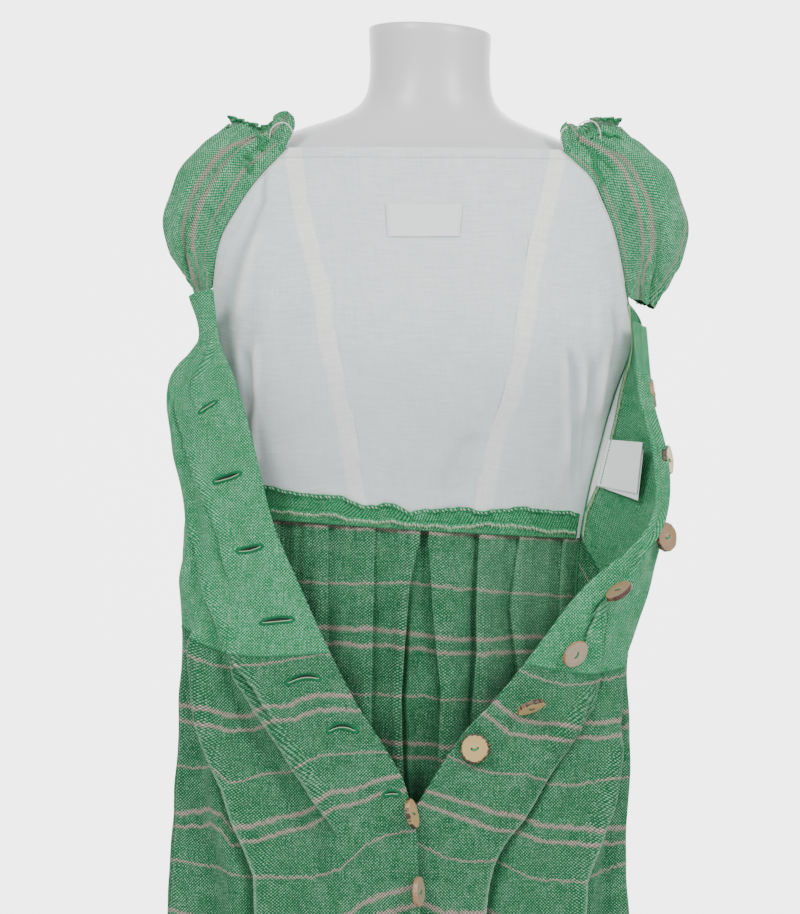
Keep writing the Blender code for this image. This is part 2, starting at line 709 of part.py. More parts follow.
def make_tags():
    """Two blank care tags caught in the right side seam, one behind the other."""
    corners = [Vector(c) * MM for c in TAG_CORNERS]
    for index, name in enumerate(("care_tag_front", "care_tag_rear")):
        grid = []
        for v in steps(0, 1, 3):
            row = []
            for a in steps(0, 1, 3):
                top = corners[0].lerp(corners[1], a)
                low = corners[3].lerp(corners[2], a)
                point = top.lerp(low, v)
                point.y += 2 * MM * math.sin(math.pi * a) - index * a * TAG_GAP
                point.z -= index * SECOND_TAG_DROP * a
                row.append(point)
            grid.append(row)
        start = index * (TAG_THICKNESS + TAG_GAP)
        wall(name, grid, (start, start + TAG_THICKNESS), "label_white", 1)


def make_button(name, centre, face):
    """A slice of horn: a short many-sided drum with eased rims, looking along face."""
    inner = BUTTON_RADIUS - BUTTON_BEVEL
    half = BUTTON_THICKNESS / 2
    profile = ((inner, -half), (BUTTON_RADIUS, -half + BUTTON_BEVEL))
    profile += ((BUTTON_RADIUS, half - BUTTON_BEVEL), (inner, half))
    made = turned(name, profile, BUTTON_SIDES, "horn")
    turn = Vector((0, 0, 1)).rotation_difference(face).to_matrix().to_4x4()
    made.data.transform(Matrix.Translation(centre) @ turn)


def make_buttons():
    number = 1
    for button in OPEN_BUTTONS:
        row = front_outline("right", button.level)
        place, outwards = on_front("right", row, button.inset * MM, button.level)
        cloth = cloth_face("right", button.level)
        face = Vector((button.face_x, button.face_y, button.face_z)).normalized()
        lowest = min(rest_height(corner, cloth) for corner in button_corners(face, place))
        centre = place + outwards * (button.thread * MM - CLOTH[0] - lowest)
        make_button(f"button_{number:02d}", centre, face)
        number += 1
    for level in CLOSED_LEVELS:
        grid = front_grid("left", [0.98, 1.0], [level - 0.01, level, level + 0.01])
        down = (grid[2][1] - grid[0][1]).normalized()
        face = Vector(CLOSED_FACE)
        face = (face - down * face.dot(down)).normalized()
        centre = grid[1][1] + face * (BUTTON_THICKNESS / 2 + CLOSED_GAP)
        centre += down.cross(face) * CLOSED_FORWARD
        make_button(f"button_{number:02d}", centre, face)
        number += 1


def front_outline(side, level):
    """Points of a front's row from the placket edge inwards."""
    return [front_point(side, a, level) for a in steps(1, -1, 120)]


def on_front(side, outline, inset, level):
    """Point a given way in from the placket edge, and the way out there."""
    run = 0.0
    for k, (a, b) in enumerate(zip(outline, outline[1:])):
        run += (b - a).length
        if run >= inset:
            break
    around = 1 - (k + 1) / 60
    grid = front_grid(side, [around - 0.04, around, around + 0.04], [level - 0.03, level, level + 0.03])
    outwards = normals(grid)[1][1] * (-1 if side == "left" else 1)
    return grid[1][1], outwards


def cloth_face(side, level):
    """(point, way out) pairs all over the flat facets of a front's wall, above or below the waist seam."""
    columns = BODICE_COLUMNS[4:] if level < 1 else steps(0, 1, SKIRT_COLUMNS_FRONT)[8:]
    levels = BODICE_LEVELS if level < 1 else SKIRT_LEVELS[:7]
    grid = front_grid(side, columns, levels)
    ways = normals(grid)
    sign = -1 if side == "left" else 1
    found = []
    for r in range(len(levels) - 1):
        for c in range(len(columns) - 1):
            for down in steps(0, 0.8, 4):
                for across in steps(0, 0.8, 4):
                    pair = []
                    for g in (grid, ways):
                        high = g[r][c].lerp(g[r][c + 1], across)
                        low = g[r + 1][c].lerp(g[r + 1][c + 1], across)
                        pair.append(high.lerp(low, down))
                    found.append((pair[0], pair[1] * sign))
    return found


def button_corners(face, centre):
    """Points round both rims of a button that looks along face."""
    turn = Vector((0, 0, 1)).rotation_difference(face).to_matrix()
    found = []
    for k in range(BUTTON_SIDES * 2):
        angle = math.pi * k / BUTTON_SIDES
        for half in (-BUTTON_THICKNESS / 2, BUTTON_THICKNESS / 2):
            rim = Vector((BUTTON_RADIUS * math.cos(angle), BUTTON_RADIUS * math.sin(angle), half))
            found.append(centre + turn @ rim)
    return found


def rest_height(point, cloth):
    """Height of a point over the nearest of the cloth's (point, way out) pairs."""
    near, out = min(cloth, key=lambda pair: (point - pair[0]).length_squared)
    return (point - near).dot(out)


def main():
    for thing in list(bpy.data.objects):
        bpy.data.objects.remove(thing, do_unlink=True)
    make_torso()
    make_stand()
    make_back()
    make_fronts()
    make_right_inside()
    make_allowances()
    make_sleeves()
    make_label()
    make_tags()
    make_buttons()


main()
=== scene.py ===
# %% [markdown]
# # A dirndl on a dress form
# A dirndl is a fitted bodice sewn to a wide pleated skirt. This one hangs open: its back lies on the form's
# chest, its lining faces the viewer, and its two fronts fall apart in a V down to the first closed button.
# Cloth is built here from a few sewn surfaces. Each panel is a grid of points on one of them, moved along its
# normals by folds, so neighbouring panels always meet. A cloth simulation could drape it as well, but
# folds given in tables keep every seam and button where it was sewn.

# %% Load the imported model
import json
import math

import bpy
import numpy as np
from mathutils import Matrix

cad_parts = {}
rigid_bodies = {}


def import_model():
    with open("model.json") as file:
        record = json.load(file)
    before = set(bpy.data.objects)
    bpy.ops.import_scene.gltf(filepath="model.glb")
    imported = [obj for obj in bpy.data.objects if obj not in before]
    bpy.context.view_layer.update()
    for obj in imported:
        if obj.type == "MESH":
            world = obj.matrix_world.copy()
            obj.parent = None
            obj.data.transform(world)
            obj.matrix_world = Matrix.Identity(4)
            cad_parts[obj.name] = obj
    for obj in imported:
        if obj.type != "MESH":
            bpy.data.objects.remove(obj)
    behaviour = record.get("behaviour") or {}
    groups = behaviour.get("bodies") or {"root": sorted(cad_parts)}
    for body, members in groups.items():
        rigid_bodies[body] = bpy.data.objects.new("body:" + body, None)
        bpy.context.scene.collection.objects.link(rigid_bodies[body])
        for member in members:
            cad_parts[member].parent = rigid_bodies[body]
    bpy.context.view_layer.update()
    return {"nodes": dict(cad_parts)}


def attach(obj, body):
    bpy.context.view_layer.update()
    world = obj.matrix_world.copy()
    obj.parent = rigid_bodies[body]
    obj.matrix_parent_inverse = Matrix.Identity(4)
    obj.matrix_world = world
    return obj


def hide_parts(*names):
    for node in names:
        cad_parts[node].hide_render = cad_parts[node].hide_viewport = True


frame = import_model()
MM = 0.001

# %% [markdown]
# ## The camera
# It looks straight along +Y at the height of the waist's upper edge, from 2.4 metres. A long lens keeps the
# dress free of perspective stretch. The sensor's 36 mm lie along the picture's long side.

# %% Camera
CAMERA_PLACE = (-0.0279, -2.4, 1.1229)
VIEW_HEIGHT = 0.85002
camera_data = bpy.data.cameras.new("view")
camera_data.sensor_width = 36
camera_data.lens = 36 * -CAMERA_PLACE[1] / VIEW_HEIGHT
camera = bpy.data.objects.new("view", camera_data)
camera.location = CAMERA_PLACE
camera.rotation_euler = (math.pi / 2, 0, 0)
bpy.context.scene.collection.objects.link(camera)
bpy.context.scene.camera = camera
print("lens:", round(camera_data.lens, 1), "mm")

# %% [markdown]
# ## Reading tables
# A garment's surface is written as short tables: one row per height, one column per measure, in
# millimetres. `read` follows a smooth cubic curve through each column, as a flexible ruler laid through
# pins would. It takes one key or an array of keys, so a whole row of points costs one call.

# %% Table reading
def read(rows, keys):
    """Columns of a table at the given keys, along smooth curves through its rows."""
    table = np.array(rows, float)
    stops = table[:, 0]
    keys = np.clip(np.asarray(keys, float), stops[0], stops[-1])
    i = np.clip(np.searchsorted(stops, keys, "right") - 1, 0, len(stops) - 2)
    span = (stops[i + 1] - stops[i])[..., None]
    t = (keys - stops[i])[..., None] / span
    slope = np.empty_like(table)
    slope[1:-1] = (table[2:] - table[:-2]) / (stops[2:] - stops[:-2])[:, None]
    slope[0] = (table[1] - table[0]) / (stops[1] - stops[0])
    slope[-1] = (table[-1] - table[-2]) / (stops[-1] - stops[-2])
    a, b, ma, mb = table[i], table[i + 1], slope[i] * span, slope[i + 1] * span
    found = (2 * t**3 - 3 * t**2 + 1) * a + (t**3 - 2 * t**2 + t) * ma
    found += (3 * t**2 - 2 * t**3) * b + (t**3 - t**2) * mb
    return np.moveaxis(found, -1, 0)


def mix(a, b, t):
    return a + (b - a) * t


def ease(t):
    t = np.clip(t, 0.0, 1.0)
    return t * t * (3 - 2 * t)


def bell(off, width):
    """Soft hump, 1 at its middle, that has all but gone two widths away."""
    return np.exp(-((off / width) ** 2))


print("half-way from 0 to 10:", read([(0, 0), (1, 10)], 0.5)[1])

# %% [markdown]
# ## The form's measures
# A shop's dress form is a moulded torso without head, arms or legs. Each row gives its half width, its
# depth to the front and to the back, and how square its outline is at one height. Its shoulders slope a
# little to one side, which `form_lean` adds.

# %% Form table
# height, half width, front depth, back depth, squareness
FORM = [
    (742, 112, 72, 78, 2.0),
    (756, 138, 92, 98, 2.1),
    (800, 152, 102, 108, 2.2),
    (860, 158, 107, 113, 2.2),
    (925, 153, 106, 110, 2.2),
    (990, 134, 97, 98, 2.2),
    (1060, 120, 89, 84, 2.2),
    (1125, 130, 95, 80, 2.2),
    (1190, 150, 110, 86, 2.3),
    (1255, 171, 119, 93, 2.3),
    (1310, 185, 108, 96, 2.3),
    (1352, 188, 92, 93, 2.3),
    (1385, 178, 78, 88, 2.2),
    (1406, 156, 69, 83, 2.1),
    (1420, 128, 63, 77, 2.0),
    (1430, 98, 60, 71, 2.0),
    (1441, 73, 57, 64, 2.0),
    (1456, 60, 55, 57, 2.0),
    (1480, 56, 53, 54, 2.0),
    (1517, 57, 54, 54, 2.0),
]
SHOULDER_DROP = 0.04
FORM_CLEARANCE = 2.2


def form_lean(height):
    return SHOULDER_DROP * ease((height - 1000) / 350)


def form_front(x, z):
    """Front of the form in mm, far behind everything where the form is narrower than x."""
    _, half_width, front, _, n = read(FORM, z + form_lean(z) * x)
    share = np.minimum(np.abs(x) / half_width, 1.0)
    return np.where(share < 1, -front * (1 - share**n) ** (1 / n), 1000.0)


print("form:", FORM[0][0], "to", FORM[-1][0], "mm above the floor")

# %% [markdown]
# ## The sewn surface of the back
# The level counts down the dress: -1 at the back neckline, 0 under the arm, 1 at the waist seam, 2 at the
# hem. Across runs from one side edge to the other. Above the waist it is measured by the princess seams,
# which sit at 1/3 and 2/3, so that a panel is a plain stretch of across.

# %% Back table
# level, left x, left z, right x, right z, mid z, mid y, side y, seam left, seam right
BACK = [
    (-1.0, -128, 1403, 117, 1401, 1401, -80, -60, 0.05, 0.957),
    (-0.8, -153, 1378, 143, 1377, 1375, -92, -62, 0.135, 0.862),
    (-0.6, -173, 1351, 156, 1353, 1347, -105, -60, 0.196, 0.818),
    (-0.35, -190, 1320, 168, 1320, 1315, -118, -56, 0.249, 0.774),
    (0.0, -199, 1268, 179, 1265, 1262, -129, -49, 0.295, 0.732),
    (0.2, -202, 1229, 183, 1228, 1226, -129, -46, 0.308, 0.711),
    (0.45, -207, 1182, 167, 1181, 1180, -124, -50, 0.358, 0.723),
    (0.72, -207, 1128, 152, 1129, 1127, -112, -53, 0.4, 0.705),
    (1.0, -202, 1071, 135, 1049.5, 1059.5, -103, -58, 0.433, 0.706),
    (1.1, -203, 986, 131, 984, 990, -118, -68, 0.433, 0.706),
    (1.28, -212, 858, 140, 856, 864, -129, -90, 0.433, 0.706),
    (1.45, -221, 737, 150, 735, 744, -131, -106, 0.433, 0.706),
    (1.72, -232, 546, 162, 545, 555, -126, -122, 0.433, 0.706),
    (2.0, -242, 345, 172, 345, 358, -120, -134, 0.433, 0.706),
]
BACK_CURVE = 2.8


def back_row(across, level):
    """Points of the back's sewn surface along one level, in metres."""
    across = np.asarray(across, float)
    _, left_x, left_z, right_x, right_z, mid_z, mid_y, side_y, seam_l, seam_r = read(BACK, level)
    f = across if level > 1 else np.interp(across, [0, 1 / 3, 2 / 3, 1], [0, seam_l, seam_r, 1])
    x = mix(left_x, right_x, f)
    z = mix(left_z, right_z, f) + (mid_z - (left_z + right_z) / 2) * 4 * f * (1 - f)
    y = mix(side_y, mid_y, 1 - np.abs(2 * f - 1) ** BACK_CURVE)
    y = np.minimum(y, form_front(x, z) - FORM_CLEARANCE)
    return np.stack([x, y, z], -1) * MM


def back_grid(across, levels):
    """Grid of the back, one row of points per level."""
    return np.array([back_row(across, level) for level in levels])


print("back at the waist:", round(np.ptp(back_row([0, 1], 1.0)[:, 0]), 3), "m wide")

# %% [markdown]
# ## The sewn surface of the fronts
# A front starts at the side seam (around -1), turns at its outermost line (around 0) and ends at the placket
# edge (around 1). Two quarter arcs through those three lines give its rounded cross-section. It hangs a
# little between them, as any cloth does between two holds.

# %% Front tables
# level, edge x, edge y, edge z, outer x, outer y, outer z
FRONT = {
    "left": [
        (0.0, -197, -88, 1273, -217, -80, 1267),
        (0.14, -190, -102, 1227, -207, -84, 1228),
        (0.27, -174, -117, 1188, -232, -86, 1188),
        (0.45, -157, -130, 1129, -228, -90, 1129),
        (0.65, -140, -144, 1064, -215, -98, 1063),
        (0.83, -115, -157, 1007, -222, -106, 1012),
        (1.0, -90, -170, 954, -218, -112, 971),
        (1.07, -67, -182, 911, -217, -118, 918),
        (1.143, -40, -192, 870, -218, -124, 866),
        (1.19, -25, -198, 842, -221, -128, 832),
        (1.27, -14, -204, 787, -223, -133, 776),
        (1.6, -12, -218, 530, -238, -152, 545),
        (2.0, -12, -236, 240, -262, -172, 264),
    ],
    "right": [
        (0.0, 184, -68, 1245, 191, -58, 1242),
        (0.215, 187, -100, 1174, 193, -84, 1174),
        (0.357, 196, -124, 1129, 204, -92, 1129),
        (0.5, 196, -145, 1081, 207, -100, 1085),
        (0.597, 181, -158, 1051, 200, -108, 1046),
        (0.78, 131, -168, 1008, 189, -112, 1002),
        (1.0, 81, -178, 945, 171, -118, 948),
        (1.063, 53, -184, 912, 170, -124, 906),
        (1.119, 25, -188, 882, 169, -128, 866),
        (1.206, -8, -192, 831, 167, -132, 804),
        (1.274, -34, -194, 786, 166, -136, 756),
        (1.6, -42, -206, 530, 180, -152, 545),
        (2.0, -42, -224, 240, 196, -170, 266),
    ],
}
FRONT_SAG = 11


def front_row(side, around, level):
    """Points of a front's sewn surface along one level, in metres."""
    around = np.asarray(around, float)
    back = read(BACK, level)
    seam = np.array([back[1], back[7], back[2]] if side == "left" else [back[3], back[7], back[4]])
    row = read(FRONT[side], level)
    edge, outer = row[1:4], row[4:7]
    before = np.clip(around + 1, 0, 1) * math.pi / 2
    after = np.clip(around, 0, 1) * math.pi / 2
    inner = around < 0
    x = np.where(inner, mix(seam[0], outer[0], np.sin(before)), mix(outer[0], edge[0], 1 - np.cos(after)))
    y = np.where(inner, mix(seam[1], outer[1], 1 - np.cos(before)), mix(outer[1], edge[1], np.sin(after)))
    z = np.where(inner, mix(seam[2], outer[2], around + 1), mix(outer[2], edge[2], around))
    z = z - np.where(inner, 0, FRONT_SAG * np.sin(2 * after)) * ease((level - 0.5) / 0.4)
    return np.stack([x, y, z], -1) * MM


print("left front:", front_row("left", [0, 1], 2.0)[:, 2].round(3), "m above the floor at its hem")

# %% [markdown]
# ## Folds
# Folds are heights added along the surface's normal. Long soft ones are sums of bell curves whose places drift
# from the waist to the hem. They share their lines with the solid model, so both have the same main forms.

# %% Soft folds
# place at the waist, 15 cm below, 21 cm below, at the hem; height in mm, width, level where it ends
FOLDS = {
    "left": [
        (-0.6, -0.62, -0.62, -0.6, 7, 0.16, 3.0),
        (0.29, 0.37, 0.5, 0.58, 7, 0.075, 3.0),
        (0.19, 0.27, 0.36, 0.38, -6, 0.07, 3.0),
        (0.46, 0.66, 0.76, 0.82, -9, 0.055, 1.34),
        (0.58, 0.75, 0.82, 0.86, 6, 0.06, 1.34),
        (0.02, 0.04, 0.08, 0.1, 6, 0.08, 3.0),
    ],
    "right": [
        (-0.6, -0.62, -0.62, -0.6, 7, 0.16, 3.0),
        (0.22, 0.33, 0.4, 0.44, 7, 0.07, 3.0),
        (0.1, 0.2, 0.25, 0.28, -6, 0.06, 3.0),
        (0.45, 0.64, 0.76, 0.8, -8, 0.06, 1.5),
        (0.56, 0.74, 0.85, 0.88, 5, 0.07, 1.5),
        (0.02, 0.05, 0.08, 0.1, 5, 0.06, 3.0),
    ],
}
FOLD_LEVELS = (1.0, 1.15, 1.3, 2.0)
HEM_WAVES = 6
HEM_WAVE_HEIGHT = 12
# place, height in mm, width
BODICE_FOLDS = {
    "left": [(0.17, 4, 0.1), (0.33, -3, 0.08), (-0.5, 4, 0.2)],
    "right": [(0.25, 3, 0.1), (-0.5, -3, 0.2)],
}


def skirt_folds(side, around, level):
    total = np.zeros_like(around)
    for *places, height, width, ends in FOLDS[side]:
        place = np.interp(level, FOLD_LEVELS, places)
        grows = mix(0.45, 1.0, ease((level - 1) / 0.12))
        total += height * bell(around - place, width) * grows * ease((ends - level) / 0.12)
    swell = HEM_WAVE_HEIGHT * ease((level - 1.15) / 0.85) * ease((around + 1) / 0.8)
    return total - swell * np.cos(math.tau * HEM_WAVES * (around + 1) / 2)


def bodice_folds(side, around, level):
    return sum(h * bell(around - place, width) * ease(level / 0.3) for place, h, width in BODICE_FOLDS[side])


def fold_height(side, around, level):
    """Height of a front's soft folds in mm; none at the placket edge or the side seam."""
    calm = ease((0.97 - around) / 0.25) * ease((around + 1) / 0.12)
    if level >= 1:
        return skirt_folds(side, around, level) * calm
    near = ease((level - 0.8) / 0.2)
    return mix(bodice_folds(side, around, level), skirt_folds(side, around, 1.0), near) * calm


print("soft folds:", {side: len(rows) for side, rows in FOLDS.items()})

# %% [markdown]
# ## Creases
# A crease isn't a soft wave. One edge of the cloth is pulled, so it rises to a thin lip, drops behind it and
# hangs over the drop a little. A sculpting brush could draw one. A table of paths is easier to correct: each
# path is a few (level, around) pairs, and the fold's section is worked out anew at every row it crosses.

# %% Paths of the creases
# height in mm, which side lies over (1: towards the placket, -1: away), soft width, path
SHARP_FOLDS = {
    "left": [
        (3.5, 1, 0.09, [(0.3, 0.26), (0.4, 0.325), (0.456, 0.391), (0.522, 0.447), (0.575, 0.494), (0.632, 0.553),
                        (0.677, 0.593), (0.8, 0.635)]),
        (4.5, 1, 0.08, [(0.62, 0.16), (0.728, 0.349), (0.796, 0.444), (0.889, 0.511), (0.98, 0.536), (1.03, 0.56)]),
        (2.8, 1, 0.07, [(0.12, 0.83), (0.183, 0.734), (0.227, 0.635), (0.257, 0.577), (0.304, 0.563), (0.36, 0.6)]),
        (7.0, 1, 0.1, [(0.97, 0.28), (1.046, 0.291), (1.082, 0.316), (1.112, 0.356), (1.15, 0.402), (1.178, 0.446),
                        (1.216, 0.482), (1.246, 0.52), (1.28, 0.558), (1.6, 0.61), (2.1, 0.63)]),
        (6.5, 1, 0.06, [(0.98, 0.53), (1.032, 0.579), (1.053, 0.622), (1.087, 0.671), (1.123, 0.708), (1.167, 0.742),
                        (1.205, 0.772), (1.26, 0.82)]),
        (4.0, 1, 0.05, [(0.99, 0.55), (1.017, 0.588), (1.044, 0.648), (1.078, 0.69), (1.12, 0.725)]),
        (2.5, 1, 0.05, [(1.02, 0.08), (1.12, 0.1), (1.3, 0.14), (1.6, 0.16)]),
    ],
    "right": [
        (6.5, 1, 0.06, [(1.0, 0.42), (1.042, 0.525), (1.065, 0.57), (1.085, 0.588), (1.11, 0.608), (1.136, 0.636),
                        (1.159, 0.657), (1.188, 0.671), (1.205, 0.686), (1.231, 0.714), (1.286, 0.737), (1.4, 0.77)]),
        (3.5, 1, 0.04, [(1.0, 0.5), (1.044, 0.586), (1.063, 0.596), (1.11, 0.57)]),
        (7.0, 1, 0.1, [(1.06, 0.08), (1.114, 0.224), (1.136, 0.255), (1.155, 0.291), (1.182, 0.33), (1.206, 0.356),
                        (1.233, 0.375), (1.275, 0.411), (1.6, 0.5), (2.1, 0.53)]),
        (3.0, -1, 0.05, [(0.78, 0.79), (0.849, 0.756), (0.887, 0.748), (0.96, 0.69)]),
        (3.0, 1, 0.05, [(0.8, 0.74), (0.879, 0.662), (0.928, 0.607), (1.01, 0.52)]),
        (2.2, -1, 0.05, [(0.72, 0.72), (0.773, 0.754), (0.811, 0.776), (0.88, 0.8)]),
    ],
}
# soft dents: height in mm, width, path
DENTS = {
    "left": [
        (-2.2, 0.045, [(0.2, 0.8), (0.287, 0.886), (0.338, 0.921), (0.45, 0.945)]),
        (-2.0, 0.05, [(0.42, 0.62), (0.5, 0.72), (0.58, 0.8)]),
        (-2.0, 0.055, [(0.62, 0.7), (0.72, 0.8), (0.82, 0.86)]),
        (-3.5, 0.05, [(1.03, 0.38), (1.1, 0.43), (1.2, 0.56), (1.4, 0.68), (2.1, 0.72)]),
        (-3.0, 0.04, [(1.1, 0.52), (1.18, 0.6), (1.3, 0.66), (1.5, 0.7)]),
    ],
    "right": [
        (-2.4, 0.05, [(0.6, 0.8), (0.7, 0.74), (0.8, 0.72)]),
        (-2.5, 0.04, [(1.02, 0.1), (1.1, 0.14), (1.2, 0.2)]),
        (-3.0, 0.045, [(1.14, 0.78), (1.22, 0.84), (1.35, 0.88)]),
        (-3.0, 0.045, [(1.1, 0.4), (1.2, 0.52), (1.35, 0.6), (2.1, 0.66)]),
    ],
}
print("creases:", {side: len(rows) for side, rows in SHARP_FOLDS.items()})

# %% [markdown]
# ## The section of a crease
# `off` is the distance from the crease's path along the row. The valley behind the lip and the hang are
# shares of the fold's height, so high and low folds look alike. The hang slides the crest along the row, so
# it can lie over its own valley: a height alone never could.

# %% Section of a crease
FOLD_LIP = 0.01
FOLD_VALLEY = 0.7
FOLD_HANG = 0.6
WHOLE_FOLD = 6


def sharp_fold(off, over, soft, lip):
    """Section of a fold as shares of its height: how far it rises, and how far its crest hangs over."""
    off = off * over
    crest = np.where(off < 0, ease(1 + off / lip), bell(off, soft))
    valley = np.where(off < -lip, bell(off + lip, 0.5 * soft), ease(-off / lip))
    hang = np.where(off < 0, ease(1 + off / lip), bell(off, 0.4 * soft))
    return crest - FOLD_VALLEY * valley, -over * FOLD_HANG * hang


def along_path(path, level, begins=0.05, ends=0.08):
    """Place of a path at one level, and how far it has faded in or out there."""
    stops, places = zip(*path)
    inside = ease((level - stops[0]) / begins) * ease((stops[-1] - level) / ends)
    return np.interp(level, stops, places), inside


def fold_painted_light(off, over, lip):
    """Painted shade in a fold's hollow and painted highlight on its crest, across the fold, both 0 to 1."""
    off = off * over / lip
    painted_shade = ease((-off - 0.15) / 0.5) * np.exp(np.minimum(off + 0.6, 0) / 3.5)
    return painted_shade, bell(off - 0.1, 0.42)


def fold_row(folds, row, level, lip):
    """What sharp folds do to a row of points: rise and slide in mm, then painted shade and painted highlight from 0
    to 1.
    """
    rise, slide, painted_shade, painted_highlight = np.zeros((4, len(row)))
    for height, over, soft, path in folds:
        place, fade = along_path(path, level)
        up, along_row = sharp_fold(row - place, over, soft, lip)
        rise += fade * height * up
        slide += fade * height * along_row
        # painted shade in each crease's hollow, painted highlight on its crest
        deep, crest_highlight = fold_painted_light(row - place, over, lip)
        strength = fade * min(height / WHOLE_FOLD, 1.0)
        painted_shade, painted_highlight = np.maximum(painted_shade, strength * deep), np.maximum(painted_highlight, strength * crest_highlight)
    return np.array([rise, slide, painted_shade, painted_highlight])

# %% [markdown]
# ## Creases and painted light of a front
# Light doesn't reach the bottom of a crease, and its crest catches more light. Lamps alone show little of that
# on folds a few millimetres high, so each point of the cloth carries two numbers: how much painted shade and how
# much painted highlight it gets. They are kept in a UV map called painted_light, by which the materials below paint
# hollows darker and crests paler.

# %% Creases and painted light
SEAM_SHADOW = 0.005


def creases(side, around, level):
    """How far a front's creases rise, and how far they slide along the row, in mm."""
    rise, slide, _, _ = fold_row(SHARP_FOLDS[side], around, level, FOLD_LIP)
    for height, wide, path in DENTS[side]:
        place, fade = along_path(path, level)
        rise += fade * height * bell(around - place, wide)
    calm = ease((0.99 - around) / 0.1) * ease((around + 1) / 0.12)
    return rise * calm, slide * calm


def front_painted_light(side, around, levels):
    """Painted shade in a front's crease hollows and just below its waist seam, and painted highlight on its crests,
    one pair for each of its points.
    """
    rows = []
    for row, level in zip(np.broadcast_to(around, (len(levels), np.shape(around)[-1])), levels):
        _, _, painted_shade, painted_highlight = fold_row(SHARP_FOLDS[side], row, level, FOLD_LIP)
        # painted shadow on the skirt just below the waist seam
        painted_shade = np.maximum(painted_shade, 0.9 * (level > 1) * np.exp(-abs(level - 1) / SEAM_SHADOW))
        rows.append(np.stack([painted_shade, painted_highlight], -1) * ease((0.995 - row) / 0.05)[:, None])
    return np.array(rows)

# %% [markdown]
# ## Grids of cloth
# A grid holds rows of points, and UV coordinates in metres: u along the weft, v down the warp. Because they
# are real lengths, weave and stripes come out at their true size on every piece. On a panel whose rows slant,
# `straight_grain` counts u sideways and v downwards only, so the weave stays square there too. The small
# unevenness that makes cloth look worn comes from `rumple`, a sum of seeded sine waves.

# %% Grid helpers
SIDE_COLUMNS = 46


def straight_grain(grid, x_line, z_line):
    """UV of a front panel, with u counted from one upright line and v down from one height."""
    step = np.diff(grid, axis=1, prepend=grid[:, :1])
    u = np.cumsum(np.hypot(step[..., 0], step[..., 1]), axis=1)
    step = np.diff(grid, axis=0, prepend=grid[:1])
    v = np.cumsum(np.hypot(step[..., 2], step[..., 1]), axis=0)
    way = np.sign(grid[0, -1, 0] - grid[0, SIDE_COLUMNS, 0])
    u += way * (grid[:, -1:, 0] - x_line) - u[:, -1:]
    return np.stack([u, v + z_line - grid[:1, :, 2]], -1)


def unit(vectors):
    """The same directions, each brought to length 1."""
    return vectors / np.maximum(np.linalg.norm(vectors, axis=-1, keepdims=True), 1e-12)


def grid_normals(grid):
    return unit(np.cross(np.gradient(grid, axis=1), np.gradient(grid, axis=0)))


def lift(grid, heights):
    """Move a grid along its normals; heights are in metres, one for all or one per point."""
    heights = np.asarray(heights, float)
    return grid + grid_normals(grid) * (heights[..., None] if heights.ndim else heights)


def lengths(grid):
    """UV of a grid: running length of each row from its first point, and of each column from the first row."""
    u = np.cumsum(np.linalg.norm(np.diff(grid, axis=1, prepend=grid[:, :1]), axis=2), axis=1)
    v = np.cumsum(np.linalg.norm(np.diff(grid, axis=0, prepend=grid[:1]), axis=2), axis=0)
    return np.stack([u, v], -1)


def rumple(uv, wavelength, seed, waves=9):
    """Smooth uneven surface between about -1 and 1, from seeded sine waves near one wavelength."""
    draw = np.random.default_rng(seed)
    total = np.zeros(uv.shape[:2])
    for _ in range(waves):
        turn = draw.uniform(0, math.tau)
        rate = math.tau / (wavelength * draw.uniform(0.7, 1.6))
        run = uv[..., 0] * math.cos(turn) + uv[..., 1] * math.sin(turn)
        total += np.sin(run * rate + draw.uniform(0, math.tau))
    return total / math.sqrt(waves)

# %% [markdown]
# ## From grid to cloth
# Each grid becomes a sheet of quads, and smooth shading hides the facets. Where a piece shows its edge, a
# Solidify modifier gives it the thickness of linen. `keep_cloth` also hides the solid model's parts that the sheet
# stands for. Every cloth gets the painted_light map of painted shade and highlight, which is all zeros where none is
# painted.

# %% Making meshes
LINEN_THICK = 0.9 * MM


def add_layer(mesh, name, pairs):
    """A UV map from one pair of numbers per point."""
    layer = mesh.uv_layers.new(name=name)
    index = np.empty(len(mesh.loops), int)
    mesh.loops.foreach_get("vertex_index", index)
    layer.data.foreach_set("uv", np.asarray(pairs, np.float32).reshape(-1, 2)[index].ravel())


def make_mesh(name, points, faces, uv=None, smooth=True):
    """A named object from points, faces and one UV pair per point."""
    mesh = bpy.data.meshes.new(name)
    mesh.from_pydata([tuple(p) for p in points], [], [tuple(f) for f in faces])
    if uv is not None:
        add_layer(mesh, "cloth", uv)
    mesh.polygons.foreach_set("use_smooth", [smooth] * len(mesh.polygons))
    made = bpy.data.objects.new(name, mesh)
    bpy.context.scene.collection.objects.link(made)
    return made


def grid_faces(rows, cols, closed=False):
    spots = np.arange(rows * cols).reshape(rows, cols)
    if closed:
        spots = np.concatenate([spots, spots[:, :1]], axis=1)
    a, b = spots[:-1, :-1], spots[:-1, 1:]
    c, d = spots[1:, 1:], spots[1:, :-1]
    return np.stack([a, b, c, d], -1).reshape(-1, 4)


def ring(radius, height, sides):
    """Points of one level circle."""
    angle = np.linspace(0, math.tau, sides, endpoint=False)
    return np.stack([radius * np.cos(angle), radius * np.sin(angle), np.full(sides, float(height))], -1)


def spun(name, rings, smooth=True):
    """A skin over rings of points, from the lowest up."""
    faces = grid_faces(len(rings), len(rings[0]), closed=True)[:, ::-1]
    return make_mesh(name, np.concatenate(rings), faces, smooth=smooth)


def keep(made, finish, stands_for=()):
    """Give a piece its material and its place in the frame."""
    made.data.materials.append(finish)
    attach(made, "root")
    if stands_for:
        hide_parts(*stands_for)
    return made


